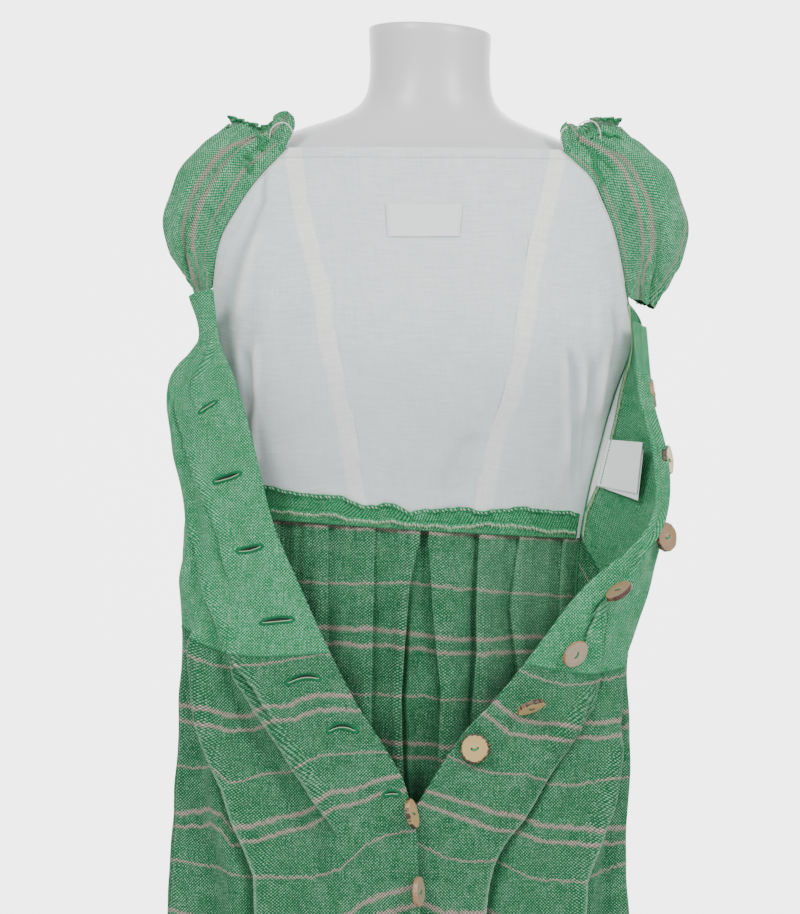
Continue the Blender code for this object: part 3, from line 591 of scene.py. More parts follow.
def keep_cloth(name, grid, uv, finish, stands_for, thick=LINEN_THICK,
               weft=None, painted_light=None):
    """A sheet of cloth from a grid, with its UV maps; it hides the solid model's parts it stands for."""
    rows, cols = grid.shape[:2]
    made = make_mesh(name, grid.reshape(-1, 3), grid_faces(rows, cols), uv)
    if weft is not None:
        add_layer(made.data, "weft", np.stack([np.zeros_like(weft), weft], -1))
    add_layer(made.data, "painted_light", np.zeros((rows, cols, 2)) if painted_light is None else painted_light)
    if thick:
        shell = made.modifiers.new("thickness", "SOLIDIFY")
        shell.thickness = thick
        shell.offset = 0
    keep(made, finish, stands_for)
    return made

# %% [markdown]
# ## Materials from nodes
# Every finish is a small node tree. Writing sums as `calc(tree, "ADD", a, b)` keeps a tree readable, because
# each line is one step of the recipe.

# %% Node helpers
def new_finish(name, roughness, **fixed):
    """A material with a Principled shader; fixed sets the shader's own sockets."""
    made = bpy.data.materials.new(name)
    made.use_nodes = True
    tree = made.node_tree
    shader = tree.nodes["Principled BSDF"]
    shader.inputs["Roughness"].default_value = roughness
    for socket, value in fixed.items():
        shader.inputs[socket.replace("_", " ")].default_value = value
    return made, tree, shader


def plug(tree, value, socket):
    if isinstance(value, bpy.types.NodeSocket):
        tree.links.new(value, socket)
    else:
        socket.default_value = value


def calc(tree, operation, *values, clamp=False):
    node = tree.nodes.new("ShaderNodeMath")
    node.operation = operation
    node.use_clamp = clamp
    for value, socket in zip(values, node.inputs):
        plug(tree, value, socket)
    return node.outputs[0]


def scaled(tree, value, factor, plus, clamp=False):
    return calc(tree, "MULTIPLY_ADD", value, factor, plus, clamp=clamp)


def wave(tree, place, pitch):
    """Sine wave along one coordinate, with one crest per pitch."""
    return calc(tree, "SINE", calc(tree, "MULTIPLY", place, math.tau / pitch))


def own_space(tree):
    """The piece's own x, y and z in metres."""
    return tree.nodes.new("ShaderNodeTexCoord").outputs["Object"]


def cloth_uv(tree, name="cloth"):
    """The cloth's own u and v in metres, and the vector of both."""
    uv = tree.nodes.new("ShaderNodeUVMap")
    uv.uv_map = name
    split = tree.nodes.new("ShaderNodeSeparateXYZ")
    tree.links.new(uv.outputs[0], split.inputs[0])
    return split.outputs[0], split.outputs[1], uv.outputs[0]


def stretched(tree, vector, x, y, z=1.0):
    node = tree.nodes.new("ShaderNodeVectorMath")
    node.operation = "MULTIPLY"
    tree.links.new(vector, node.inputs[0])
    node.inputs[1].default_value = (x, y, z)
    return node.outputs[0]


def noise(tree, vector, scale, detail=2.0):
    node = tree.nodes.new("ShaderNodeTexNoise")
    node.inputs["Scale"].default_value = scale
    node.inputs["Detail"].default_value = detail
    tree.links.new(vector, node.inputs["Vector"])
    return node.outputs[0]


def streaks(tree, vector, x, y, detail=2.0):
    """Noise drawn out into threads: x and y say how often it changes along each way."""
    return noise(tree, stretched(tree, vector, x, y), 1.0, detail)


def blend(tree, share, a, b, way="MIX"):
    node = tree.nodes.new("ShaderNodeMix")
    node.data_type = "RGBA"
    node.blend_type = way
    plug(tree, share, node.inputs[0])
    plug(tree, a, node.inputs[6])
    plug(tree, b, node.inputs[7])
    return node.outputs[2]


def paint(tree, shader, colour):
    tree.links.new(colour, shader.inputs["Base Color"])


def bump(tree, shader, height, distance, strength=1.0):
    node = tree.nodes.new("ShaderNodeBump")
    node.inputs["Distance"].default_value = distance
    node.inputs["Strength"].default_value = strength
    tree.links.new(height, node.inputs["Height"])
    tree.links.new(node.outputs[0], shader.inputs["Normal"])

# %% [markdown]
# ## Two-tone linen
# The cloth is woven from a green warp and a paler weft in a bird's-eye twill, so small light dots stand in
# diagonal rows. The product of one sine wave across the cloth and one down it gives those dots at their
# real size, and a third wave along the diagonal leans them into a twill. Stretched noise makes some threads
# thicker, as flax always is, and fine noise is its lint. The skirt's and sleeves' cloth also has weft stripes
# in taupe: a thin single line, then a double one, repeated every 96 mm.

# %% Linen
DOT_PITCH = 2.7 * MM
# dark ground, ground, light thread
BODICE_GREENS = [(0.008, 0.14, 0.052, 1), (0.028, 0.27, 0.11, 1), (0.35, 0.64, 0.43, 1)]
SEAM_GREENS = [(0.005, 0.115, 0.04, 1), (0.018, 0.235, 0.085, 1), (0.23, 0.52, 0.31, 1)]
SKIRT_GREENS = [(0.004, 0.08, 0.03, 1), (0.012, 0.155, 0.058, 1), (0.27, 0.46, 0.315, 1)]
# The sleeves' linen is the skirt's striped linen painted lighter, for the light that falls on the sleeves from above.
SLEEVE_GREENS_PAINTED_LIGHTER = [(0.01, 0.15, 0.056, 1), (0.035, 0.29, 0.12, 1), (0.43, 0.68, 0.5, 1)]
TAUPE = (0.13, 0.095, 0.08, 1)
TAUPE_LIGHT = (0.56, 0.47, 0.42, 1)
STRIPE_REPEAT = 0.096
STRIPE_FIRST = 0.009
# place after the first line, half width, in metres
STRIPE_LINES = [(0.0, 0.0009), (0.0415, 0.0018), (0.0545, 0.0016), (0.096, 0.0009)]
LINEN_GREY = (0.27, 0.33, 0.25, 1)


def weave(tree, u, v, pitch):
    """Bird's-eye dots between 0 and 1, in rows that run diagonally."""
    twill = wave(tree, calc(tree, "ADD", u, v), pitch)
    dots = scaled(tree, calc(tree, "MULTIPLY", wave(tree, u, pitch), wave(tree, v, pitch)), 0.55, 0.45)
    return scaled(tree, twill, 0.14, dots, clamp=True)


def stripe_mask(tree, v, wobble, drawn_up):
    """1 on the taupe weft lines, 0 between them; gathered cloth draws them up, so there they are wider."""
    place = calc(tree, "ADD", calc(tree, "SUBTRACT", v, STRIPE_FIRST), wobble)
    place = calc(tree, "FLOORED_MODULO", place, STRIPE_REPEAT)
    mask = None
    for middle, half in STRIPE_LINES:
        far = calc(tree, "ABSOLUTE", calc(tree, "SUBTRACT", place, middle))
        line = calc(tree, "SUBTRACT", 1.5, calc(tree, "DIVIDE", far, half * drawn_up), clamp=True)
        mask = line if mask is None else calc(tree, "MAXIMUM", mask, line)
    return mask

# %% [markdown]
# ## One recipe, four linens
# The recipe first works out how light each spot is, from its dot, its thread, a slow cloudiness and the lint.
# Three greens of one family turn that into colour. Stripes lie over it, and the painted light comes last: painted
# shade darkens the hollows and a painted highlight makes the crests paler. Seam allowances get darker greens.

# %% Linen materials
def make_linen(name, greens, striped=False, drawn_up=1.0):
    made, tree, shader = new_finish(name, 0.88, Sheen_Weight=0.04, Sheen_Roughness=0.5, Specular_IOR_Level=0.2)
    u, v, vector = cloth_uv(tree)
    sway = noise(tree, vector, 230, 1.0)
    swayed = scaled(tree, sway, 0.9 * MM, u), scaled(tree, sway, -0.8 * MM, v)
    dots = weave(tree, *swayed, DOT_PITCH)
    weft = streaks(tree, vector, 70, 1100)
    warp = streaks(tree, vector, 1100, 70)
    cloudy = noise(tree, vector, 42, 3.0)
    lint = noise(tree, vector, 620, 1.0)
    threads = scaled(tree, calc(tree, "ADD", weft, warp), 1.1, -1.1)
    light = calc(tree, "ADD", scaled(tree, dots, 1.3, -0.4), threads)
    light = calc(tree, "ADD", light, scaled(tree, cloudy, 0.5, -0.25))
    light = calc(tree, "ADD", light, scaled(tree, lint, 1.3, -0.65), clamp=True)
    dark, ground, pale = greens
    colour = blend(tree, calc(tree, "MULTIPLY", light, 3.0, clamp=True), dark, ground)
    colour = blend(tree, scaled(tree, light, 1.3, -0.42, clamp=True), colour, pale)
    greyer = scaled(tree, noise(tree, vector, 75, 2.0), 1.6, -0.75, clamp=True)
    colour = blend(tree, calc(tree, "MULTIPLY", greyer, 0.18), colour, LINEN_GREY)
    if striped:
        _, place, _ = cloth_uv(tree, "weft")
        wobble = scaled(tree, streaks(tree, vector, 420, 40), 0.005, -0.0025)
        wobble = scaled(tree, lint, 0.0034, calc(tree, "SUBTRACT", wobble, 0.0017))
        wobble = scaled(tree, dots, 0.0012, wobble)
        mask = stripe_mask(tree, place, wobble, drawn_up)
        mask = calc(tree, "MULTIPLY", mask, scaled(tree, lint, 2.6, -0.35, clamp=True), clamp=True)
        band = blend(tree, scaled(tree, dots, 1.4, -0.3, clamp=True), TAUPE, TAUPE_LIGHT)
        colour = blend(tree, mask, colour, band)
    # painted shade in crease hollows, painted highlight on their crests
    painted_shade, painted_highlight, _ = cloth_uv(tree, "painted_light")
    colour = blend(tree, calc(tree, "MULTIPLY", painted_shade, 0.66), colour, dark)
    colour = blend(tree, calc(tree, "MULTIPLY", painted_highlight, 0.45), colour, pale)
    paint(tree, shader, colour)
    bump(tree, shader, calc(tree, "ADD", dots, calc(tree, "MULTIPLY", threads, 0.6)), 0.35 * MM, 0.8)
    return made


LINEN = make_linen("green_linen", BODICE_GREENS)
SEAM_LINEN = make_linen("seam_linen", SEAM_GREENS)
STRIPED = make_linen("striped_linen", SKIRT_GREENS, striped=True)
SLEEVE_LINEN_PAINTED_LIGHTER = make_linen("sleeve_linen_painted_lighter", SLEEVE_GREENS_PAINTED_LIGHTER, striped=True, drawn_up=1.45)
print("linen repeats every", STRIPE_REPEAT / MM, "mm")

# %% [markdown]
# ## Lining
# The lining is a plain off-white cotton. Where it is doubled, over the seam allowances, less of the green
# behind shines through, so those bands look whiter. A UV map called bands says where they are: its u is 1 on
# a band and 0 elsewhere, painted per point when the panel is made. Slubs, thicker stretches of thread, run
# both ways through it.

# %% Lining cotton
LINING_PITCH = 1.7 * MM
LINING_SINGLE = (0.76, 0.825, 0.835, 1)
LINING_DOUBLE = (0.93, 0.93, 0.91, 1)
# colour of the painted shade in the lining's hollows
LINING_PAINTED_SHADE = (0.43, 0.5, 0.51, 1)


def make_lining():
    made, tree, shader = new_finish("lining_cotton", 0.9, Sheen_Weight=0.1, Specular_IOR_Level=0.2)
    u, v, vector = cloth_uv(tree)
    threads = calc(tree, "MULTIPLY", wave(tree, u, LINING_PITCH), wave(tree, v, LINING_PITCH))
    plain = scaled(tree, threads, 0.5, 0.5)
    slub = streaks(tree, vector, 40, 430)
    end = streaks(tree, vector, 430, 40)
    cloudy = noise(tree, vector, 22, 3.0)
    doubled, _, _ = cloth_uv(tree, "bands")
    colour = blend(tree, doubled, LINING_SINGLE, LINING_DOUBLE)
    shade = calc(tree, "ADD", calc(tree, "MULTIPLY", plain, 0.1), calc(tree, "MULTIPLY", slub, 0.34))
    shade = calc(tree, "ADD", shade, calc(tree, "MULTIPLY", end, 0.26))
    shade = calc(tree, "ADD", shade, scaled(tree, cloudy, 0.14, 0.59))
    grey = tree.nodes.new("ShaderNodeCombineColor")
    for socket in grey.inputs:
        tree.links.new(shade, socket)
    colour = blend(tree, 1.0, colour, grey.outputs[0], "MULTIPLY")
    # Painted shade darkens the fold hollows and the lower lining; painted highlight, in the doubled colour, lightens
    # the fold crests.
    painted_shade, painted_crest_light, _ = cloth_uv(tree, "painted_light")
    colour = blend(tree, calc(tree, "MULTIPLY", painted_shade, 0.55), colour, LINING_PAINTED_SHADE)
    colour = blend(tree, calc(tree, "MULTIPLY", painted_crest_light, 0.6), colour, LINING_DOUBLE)
    paint(tree, shader, colour)
    bump(tree, shader, calc(tree, "ADD", plain, slub), 0.15 * MM, 0.5)
    return made


LINING = make_lining()
print("lining threads every", LINING_PITCH / MM, "mm")

# %% [markdown]
# ## Threads and label
# Sewing thread is a twisted yarn with a soft gloss, so fine noise shades its plies. Round a buttonhole the
# threads lie side by side, which is one sine wave along the edge. The label is a dense ribbed ribbon.

# %% Thread, satin stitch and ribbon
def make_thread(name, colour):
    made, tree, shader = new_finish(name, 0.6, Sheen_Weight=0.05)
    coords = own_space(tree)
    ply = noise(tree, coords, 900, 2.0)
    darker = tuple(0.55 * c for c in colour[:3]) + (1,)
    paint(tree, shader, blend(tree, ply, darker, colour))
    bump(tree, shader, ply, 0.2 * MM)
    return made


GREEN_THREAD = make_thread("thread_dark_green", (0.012, 0.23, 0.09, 1))
BRIGHT_THREAD = make_thread("thread_green", (0.018, 0.34, 0.12, 1))
SAGE_THREAD = make_thread("thread_sage", (0.45, 0.68, 0.4, 1))
CREAM_THREAD = make_thread("thread_cream", (0.86, 0.85, 0.78, 1))
THREAD_PITCH = 0.9 * MM


def make_satin(name, dark, light):
    """Threads packed side by side round a buttonhole; u runs round it."""
    made, tree, shader = new_finish(name, 0.55, Specular_IOR_Level=0.3)
    u, _, vector = cloth_uv(tree)
    threads = wave(tree, u, THREAD_PITCH)
    fluff = streaks(tree, vector, 900, 60)
    share = calc(tree, "ADD", scaled(tree, threads, 0.35, 0.2), calc(tree, "MULTIPLY", fluff, 0.5),
                 clamp=True)
    paint(tree, shader, blend(tree, share, dark, light))
    bump(tree, shader, threads, 0.3 * MM)
    return made


SATIN = make_satin("satin_stitch", (0.003, 0.135, 0.048, 1), (0.018, 0.33, 0.125, 1))


def make_label_ribbon():
    made, tree, shader = new_finish("label_white", 0.55, Sheen_Weight=0.1)
    _, v, vector = cloth_uv(tree)
    rib = wave(tree, v, THREAD_PITCH)
    fleck = streaks(tree, vector, 300, 1500)
    shade = scaled(tree, rib, 0.06, 0.5)
    shade = calc(tree, "ADD", shade, scaled(tree, fleck, 0.4, -0.2), clamp=True)
    colour = blend(tree, shade, (0.88, 0.91, 0.93, 1), (0.98, 0.99, 1.0, 1))
    paint(tree, shader, colour)
    bump(tree, shader, calc(tree, "ADD", rib, fleck), 0.12 * MM, 0.6)
    return made


LABEL_RIBBON = make_label_ribbon()
print("stitches and ribs every", THREAD_PITCH / MM, "mm")

# %% [markdown]
# ## Horn
# A button is a slice cut across an antler: a bony middle with fine pores and a paler heart, and dark cracked
# bark round its rim. Its UV map holds the button's own x and y, so the distance from the centre says which is
# which, and noise makes the border ragged. Slices differ, so there are four colourings.

# %% Horn
BARK_BLUR = 0.7 * MM
HEART_RADIUS = 6 * MM
HEART_CREAM = (0.8, 0.72, 0.5, 1)
PORE_BROWN = (0.23, 0.12, 0.045, 1)


def make_horn(name, faces, barks, bark_from, ragged):
    made, tree, shader = new_finish(name, 0.42, Coat_Weight=0.25, Coat_Roughness=0.25)
    u, v, vector = cloth_uv(tree)
    radius = calc(tree, "SQRT", calc(tree, "ADD", calc(tree, "MULTIPLY", u, u), calc(tree, "MULTIPLY", v, v)))
    rough = noise(tree, vector, 420, 3.0)
    grain = streaks(tree, vector, 260, 900, 5.0)
    edge = calc(tree, "ADD", radius, scaled(tree, rough, 2 * ragged, -ragged))
    bark = scaled(tree, edge, 1 / BARK_BLUR, -bark_from / BARK_BLUR, clamp=True)
    pores = scaled(tree, noise(tree, vector, 1500, 2.0), 3.0, -1.5, clamp=True)
    bone = blend(tree, grain, *faces)
    heart = scaled(tree, radius, -1 / HEART_RADIUS, 0.9, clamp=True)
    bone = blend(tree, calc(tree, "MULTIPLY", heart, 0.3), bone, HEART_CREAM)
    bone = blend(tree, calc(tree, "MULTIPLY", pores, 0.3), bone, PORE_BROWN)
    turn = calc(tree, "ARCTAN2", v, u)
    around = tree.nodes.new("ShaderNodeCombineXYZ")
    tree.links.new(turn, around.inputs[0])
    cracks = scaled(tree, noise(tree, around.outputs[0], 13, 1.0), 7.0, -4.0, clamp=True)
    brown = blend(tree, calc(tree, "MULTIPLY", cracks, 0.55), blend(tree, grain, *barks), faces[1])
    paint(tree, shader, blend(tree, bark, bone, brown))
    bump(tree, shader, calc(tree, "ADD", rough, grain), 0.5 * MM, 0.5)
    return made


# two shades of bone, two of bark, where the bark begins and how ragged it is in metres
HORN_LOOKS = {
    "brown": ([(0.2, 0.11, 0.05, 1), (0.42, 0.27, 0.14, 1)], [(0.02, 0.006, 0.004, 1), (0.08, 0.025, 0.014, 1)],
              0.0118, 0.0008),
    "rose": ([(0.27, 0.19, 0.12, 1), (0.46, 0.35, 0.24, 1)], [(0.22, 0.085, 0.03, 1), (0.46, 0.22, 0.09, 1)],
             0.0122, 0.0006),
    "orange": ([(0.4, 0.22, 0.085, 1), (0.64, 0.42, 0.19, 1)],
               [(0.012, 0.006, 0.004, 1), (0.055, 0.028, 0.015, 1)], 0.012, 0.0007),
    "yellow": ([(0.43, 0.29, 0.095, 1), (0.64, 0.47, 0.18, 1)],
               [(0.014, 0.008, 0.005, 1), (0.07, 0.04, 0.02, 1)], 0.0108, 0.0024),
}
HORNS = {name: make_horn(f"horn_{name}", *look) for name, look in HORN_LOOKS.items()}
print("horns:", ", ".join(HORNS))

# %% [markdown]
# ## The form's paint and the stand's steel
# The form is sprayed gloss white: a clear coat over an almost even colour, with the faint orange peel of
# sprayed paint as its bump. The stand is brushed steel, so its noise runs in fine rings round the tube.

# %% Paint and steel
def make_form_gloss():
    made, tree, shader = new_finish("form_gloss", 0.36, Coat_Weight=0.35, Coat_Roughness=0.22)
    coords = own_space(tree)
    orange_peel = noise(tree, coords, 90, 3.0)
    dust = noise(tree, coords, 14, 4.0)
    colour = blend(tree, dust, (0.71, 0.71, 0.73, 1), (0.76, 0.76, 0.78, 1))
    paint(tree, shader, colour)
    bump(tree, shader, orange_peel, 0.25 * MM, 0.3)
    return made


def make_steel():
    made, tree, shader = new_finish("stand_steel", 0.33, Metallic=1.0)
    coords = own_space(tree)
    brushed = noise(tree, stretched(tree, coords, 40, 40, 900), 1.0, 3.0)
    paint(tree, shader, blend(tree, brushed, (0.44, 0.45, 0.47, 1), (0.66, 0.67, 0.69, 1)))
    tree.links.new(scaled(tree, brushed, 0.2, 0.22), shader.inputs["Roughness"])
    bump(tree, shader, brushed, 0.1 * MM, 0.4)
    return made


FORM_GLOSS = make_form_gloss()
STEEL = make_steel()
print(len(bpy.data.materials), "materials")

# %% [markdown]
# ## The dress form
# The torso is a fibreglass moulding. Here each height of its table becomes one ring of points on a rounded
# rectangle, which a superellipse draws with a single power. The neck ends in a shallow cup with a soft lip.

# %% Form body
FORM_SIDES = 128
NECK_TILT = 0.02
LIP = [(1.0, 0.0), (0.985, 1.2), (0.95, 1.8), (0.9, 1.2), (0.88, -2.0), (0.86, -6.0), (0.5, -7.0), (0.02, -7.0)]


def form_ring(height, scale=1.0, lift_mm=0.0, tilt=0.0):
    _, half_width, front, back, n = read(FORM, height)
    angle = np.linspace(0, math.tau, FORM_SIDES, endpoint=False)
    c, s = np.cos(angle), np.sin(angle)
    x = half_width * scale * np.sign(c) * np.abs(c) ** (2 / n)
    y = np.where(s < 0, front, back) * scale * np.sign(s) * np.abs(s) ** (2 / n)
    z = height + lift_mm - (form_lean(height) + tilt) * x
    return np.stack([x, y, z], -1) * MM


form_top = FORM[-1][0]
rings = [form_ring(FORM[0][0], share) for share in (0.02, 0.5, 0.9)]
for height in np.linspace(FORM[0][0], form_top, 110):
    tilt = NECK_TILT * ease((height - form_top + 30) / 30)
    rings.append(form_ring(height, 1.0, 0.0, tilt))
rings += [form_ring(form_top, scale, rise, NECK_TILT) for scale, rise in LIP[1:]]
keep(spun("form_body", rings), FORM_GLOSS, ["form_torso"])
print("form body:", len(rings), "rings")

# %% [markdown]
# ## The stand
# A heavy round plate keeps the form upright, and a tube in a collar carries it. Both are turned parts, so
# each is a profile spun round the upright axis.

# %% Stand
STAND_SIDES = 96
# radius, height in mm
BASE_PROFILE = [(0.5, 0), (193, 0), (195, 1.5), (195, 9.5), (194, 12), (191.5, 13), (120, 13), (0.5, 13)]
POLE_PROFILE = [
    (0.5, 13.3), (33, 13.3), (34, 14.5), (34, 17), (32, 23), (27, 32), (21, 45), (19.5, 54), (17, 56.5),
    (15, 57.5), (15, 300), (15, 716), (17, 720), (31, 729), (34, 732), (34, 741.7), (0.5, 741.7),
]


def turned(name, profile, finish, node):
    made = spun(name, [ring(radius, height, STAND_SIDES) * MM for radius, height in profile])
    made.data.set_sharp_from_angle(angle=math.radians(35))
    print(f"{name}: {profile[-1][1]} mm high")
    return keep(made, finish, [node])


turned("stand_plate", BASE_PROFILE, STEEL, "form_base")
turned("stand_pole", POLE_PROFILE, STEEL, "form_pole")

# %% [markdown]
# ## Threads as tubes
# Stitches, overlock and elastic are yarns, so they are thin tubes along a path. `yarns` joins many short
# paths into one piece. Its cross-section follows each path without twisting, because the side direction of
# one point is carried on to the next.

# %% Tubes
def tube(path, radius, sides=6):
    """Rings of points round a path, and their faces."""
    path = np.asarray(path, float)
    ahead = unit(np.gradient(path, axis=0))
    side = np.cross(ahead[0], [0.31, 0.87, 0.38])
    angle = np.linspace(0, math.tau, sides, endpoint=False)
    taper = np.ones(len(path))
    taper[0] = taper[-1] = 0.35
    points = []
    for spot, way, thin in zip(path, ahead, taper):
        side = side - way * side.dot(way)
        side /= max(np.linalg.norm(side), 1e-12)
        other = np.cross(way, side)
        circle = np.cos(angle)[:, None] * side + np.sin(angle)[:, None] * other
        points.append(spot + circle * radius * thin)
    faces = [list(f) for f in grid_faces(len(path), sides, closed=True)]
    faces += [list(range(sides))[::-1], [len(path) * sides - sides + k for k in range(sides)]]
    return np.concatenate(points), faces


def yarns(name, paths, radius, finish, sides=6):
    points, faces, start = [], [], 0
    for path in paths:
        spots, sheets = tube(path, radius, sides)
        points.append(spots)
        faces += [[start + k for k in face] for face in sheets]
        start += len(spots)
    print(f"{name}: {len(paths)} lengths of thread")
    return keep(make_mesh(name, np.concatenate(points), faces), finish)


print("a tube of 5 points has", len(tube(np.linspace((0, 0, 0), (1, 0, 0), 5), MM)[1]), "faces")

# %% [markdown]
# ## Stitches and overlock
# A straight stitch is a dash cut from an evenly spaced path. An overlock wraps a raw edge, so each of its
# threads climbs aslant from the cloth to the edge and over it. Their reach varies a little from a seeded
# draw, as no machine lays them quite alike.

# %% Stitch helpers
def run_along(path):
    """Distance of each point from the path's first point."""
    return np.concatenate([[0], np.cumsum(np.linalg.norm(np.diff(path, axis=0), axis=1))])


def along(path, spacing):
    """Points at an even spacing along a path."""
    path = np.asarray(path, float)
    run = run_along(path)
    stops = np.arange(0, run[-1], spacing)
    return np.stack([np.interp(stops, run, path[:, k]) for k in range(3)], -1)


def smooth_path(points, count=60):
    rows = [(k, *p) for k, p in enumerate(points)]
    return np.stack(read(rows, np.linspace(0, len(points) - 1, count))[1:], -1) * MM


STITCH_STEP = 0.4 * MM


def stitch_paths(path, length=2.4 * MM, gap=0.8 * MM):
    """Short dashes along a path, as a row of straight stitches."""
    fine = along(path, STITCH_STEP)
    pitch = int((length + gap) / STITCH_STEP)
    used = int(length / STITCH_STEP) + 1
    return [fine[k : k + used] for k in range(0, len(fine) - used, pitch)]


def overlock(edge, inwards, out, width=4.5 * MM, pitch=1.7 * MM, seed=1):
    """A serged edge: one slanted thread per stitch, from the cloth up to its edge and over it."""
    draw = np.random.default_rng(seed)
    edge = np.asarray(edge, float)
    run = run_along(edge)
    stops = np.arange(pitch, run[-1] - pitch, pitch)
    stops += draw.uniform(-0.25, 0.25, len(stops)) * pitch

    def at(values, places):
        return np.stack([np.interp(places, run, np.asarray(values)[:, k]) for k in range(3)], -1)

    reach = draw.uniform(0.75, 1.15, (len(stops), 1)) * width
    way, face = at(inwards, stops), at(out, stops)
    feet = at(edge, stops + 0.6 * pitch) + way * reach + face * 0.5 * MM
    middles = at(edge, stops + 0.3 * pitch) + way * reach * 0.45 + face * 0.9 * MM
    tops = at(edge, stops) - way * 0.4 * MM + face * 0.3 * MM
    return list(np.stack([feet, middles, tops], 1))


print("straight stitches in 10 cm:", len(stitch_paths([(0, 0, 0), (0.1, 0, 0)])))

# %% [markdown]
# ## Folds of the lining
# The lining is pulled softly from the bust to the waist, so it gets a few long shallow troughs, and near the
# armholes some sharper folds. Troughs are bell shapes both ways, and folds follow paths. Cloth this pale
# shows its folds mostly by shade, so `lining_painted_light` gives their hollows painted shade and their crests a
# painted highlight, and darkens the lower lining with painted shade.

# %% Lining folds
# across, level, reach across, reach along, height in mm
BACK_TROUGHS = [
    (0.06, 0.25, 0.026, 0.35, -1.0), (0.105, 0.42, 0.024, 0.4, -0.8), (0.083, 0.33, 0.02, 0.4, 1.6),
    (0.03, 0.2, 0.02, 0.35, 1.4), (0.15, 0.1, 0.03, 0.3, 1.2),
    (0.93, 0.42, 0.018, 0.4, -1.0), (0.88, 0.36, 0.02, 0.42, -0.9), (0.965, 0.05, 0.018, 0.3, -0.9),
    (0.906, 0.38, 0.018, 0.42, 1.7), (0.95, 0.3, 0.016, 0.36, 1.5),
    (0.5, 0.75, 0.1, 0.3, 1.2), (0.415, 0.55, 0.06, 0.45, -0.7), (0.59, 0.55, 0.06, 0.45, -0.7),
    (0.25, 0.6, 0.05, 0.4, 0.8), (0.76, 0.6, 0.05, 0.4, 0.8),
]
LINING_FULL_FOLD = 2.8
# height in mm, width, path as (level, across)
LINING_FOLDS = [
    (-2.6, 0.02, [(-0.86, 0.0), (-0.64, 0.098), (-0.38, 0.091), (-0.21, 0.07), (0.01, 0.041), (0.18, 0.04)]),
    (2.4, 0.016, [(-0.45, 0.135), (-0.22, 0.104), (0.02, 0.084), (0.16, 0.068)]),
    (-3.0, 0.01, [(0.2, 0.092), (0.32, 0.105), (0.47, 0.114), (0.6, 0.115)]),
    (2.4, 0.009, [(0.16, 0.13), (0.35, 0.126), (0.58, 0.118), (0.86, 0.106)]),
    (-4.2, 0.01, [(0.21, 0.818), (0.32, 0.846), (0.49, 0.891), (0.68, 0.926), (0.9, 0.963)]),
    (2.6, 0.01, [(0.22, 0.802), (0.49, 0.858), (0.83, 0.931)]),
    (-3.6, 0.01, [(0.25, 0.89), (0.39, 0.917), (0.68, 0.956), (0.87, 0.973)]),
    (2.8, 0.01, [(0.2, 0.853), (0.39, 0.89), (0.63, 0.932)]),
    (2.8, 0.011, [(0.15, 0.916), (0.39, 0.948), (0.63, 0.981)]),
    (-2.8, 0.012, [(-0.02, 0.951), (0.19, 0.956), (0.39, 0.966)]),
    (-2.4, 0.035, [(0.6, 0.641), (0.77, 0.603), (0.92, 0.578)]),
]


def fold_hump(across, level, wide, path):
    """One lining fold across a row, as a share of its full height."""
    place, fade = along_path(path, level, 0.12, 0.12)
    return fade * bell(across - place, wide)


def lining_painted_light(across, levels):
    """Painted shade where the lining's folds keep light off it and over its lower part, and painted highlight where
    their crests catch it.
    """
    rows = []
    for level in levels:
        # painted shade over the lower lining, growing from under the bust towards the waist, for the shadow there
        painted_shade, painted_crest_light = 0.6 * ease((level - 0.02) / 0.45) * np.ones_like(across), np.zeros_like(across)
        for height, wide, path in LINING_FOLDS:
            hump = abs(height) / LINING_FULL_FOLD * fold_hump(across, level, wide, path)
            if height < 0:
                painted_shade = painted_shade + hump
            else:
                painted_crest_light = painted_crest_light + hump
        rows.append(np.stack([np.clip(painted_shade, 0, 1), np.clip(painted_crest_light, 0, 1)], -1))
    return np.array(rows)


def back_relief(across, level):
    total = np.zeros_like(across)
    for height, wide, path in LINING_FOLDS:
        total += height * fold_hump(across, level, wide, path)
    for place, at, wide, tall, height in BACK_TROUGHS:
        total += height * bell(across - place, wide) * bell(level - at, tall)
    return total * ease((level + 1) / 0.2) * ease((1 - level) / 0.12) * MM


print(len(BACK_TROUGHS), "troughs and", len(LINING_FOLDS), "folds in the lining")

# %% [markdown]
# ## The back bodice and its lining
# Three linen panels meet at two princess seams, and three lining panels lie on them wrong sides together.
# Each lining panel carries its seam allowance pressed towards the side, which shows as a whiter band. The
# shell lies just behind the sewn surface and the lining just before it, so they never cross.

# %% Back panels
BACK_PANELS = {"left": (0.0, 1 / 3, 60), "centre": (1 / 3, 2 / 3, 90), "right": (2 / 3, 1.0, 60)}
BACK_ROWS = np.linspace(-0.999, 1.0, 130)
LINING_UNDERLAP = 0.004
SHELL_DEPTH = -0.65 * MM
LINING_DEPTH = 0.95 * MM
ALLOWANCE_WIDTH = 18 * MM


def seam_bands(grid, part):
    """1 where a side panel's lining is doubled over its allowance."""
    uv = lengths(grid)
    far = uv[:, -1:, 0] - uv[..., 0] if part == "left" else uv[..., 0]
    if part == "centre":
        return np.zeros(grid.shape[:2]), far
    return ease((ALLOWANCE_WIDTH - far) / (2.5 * MM)), far


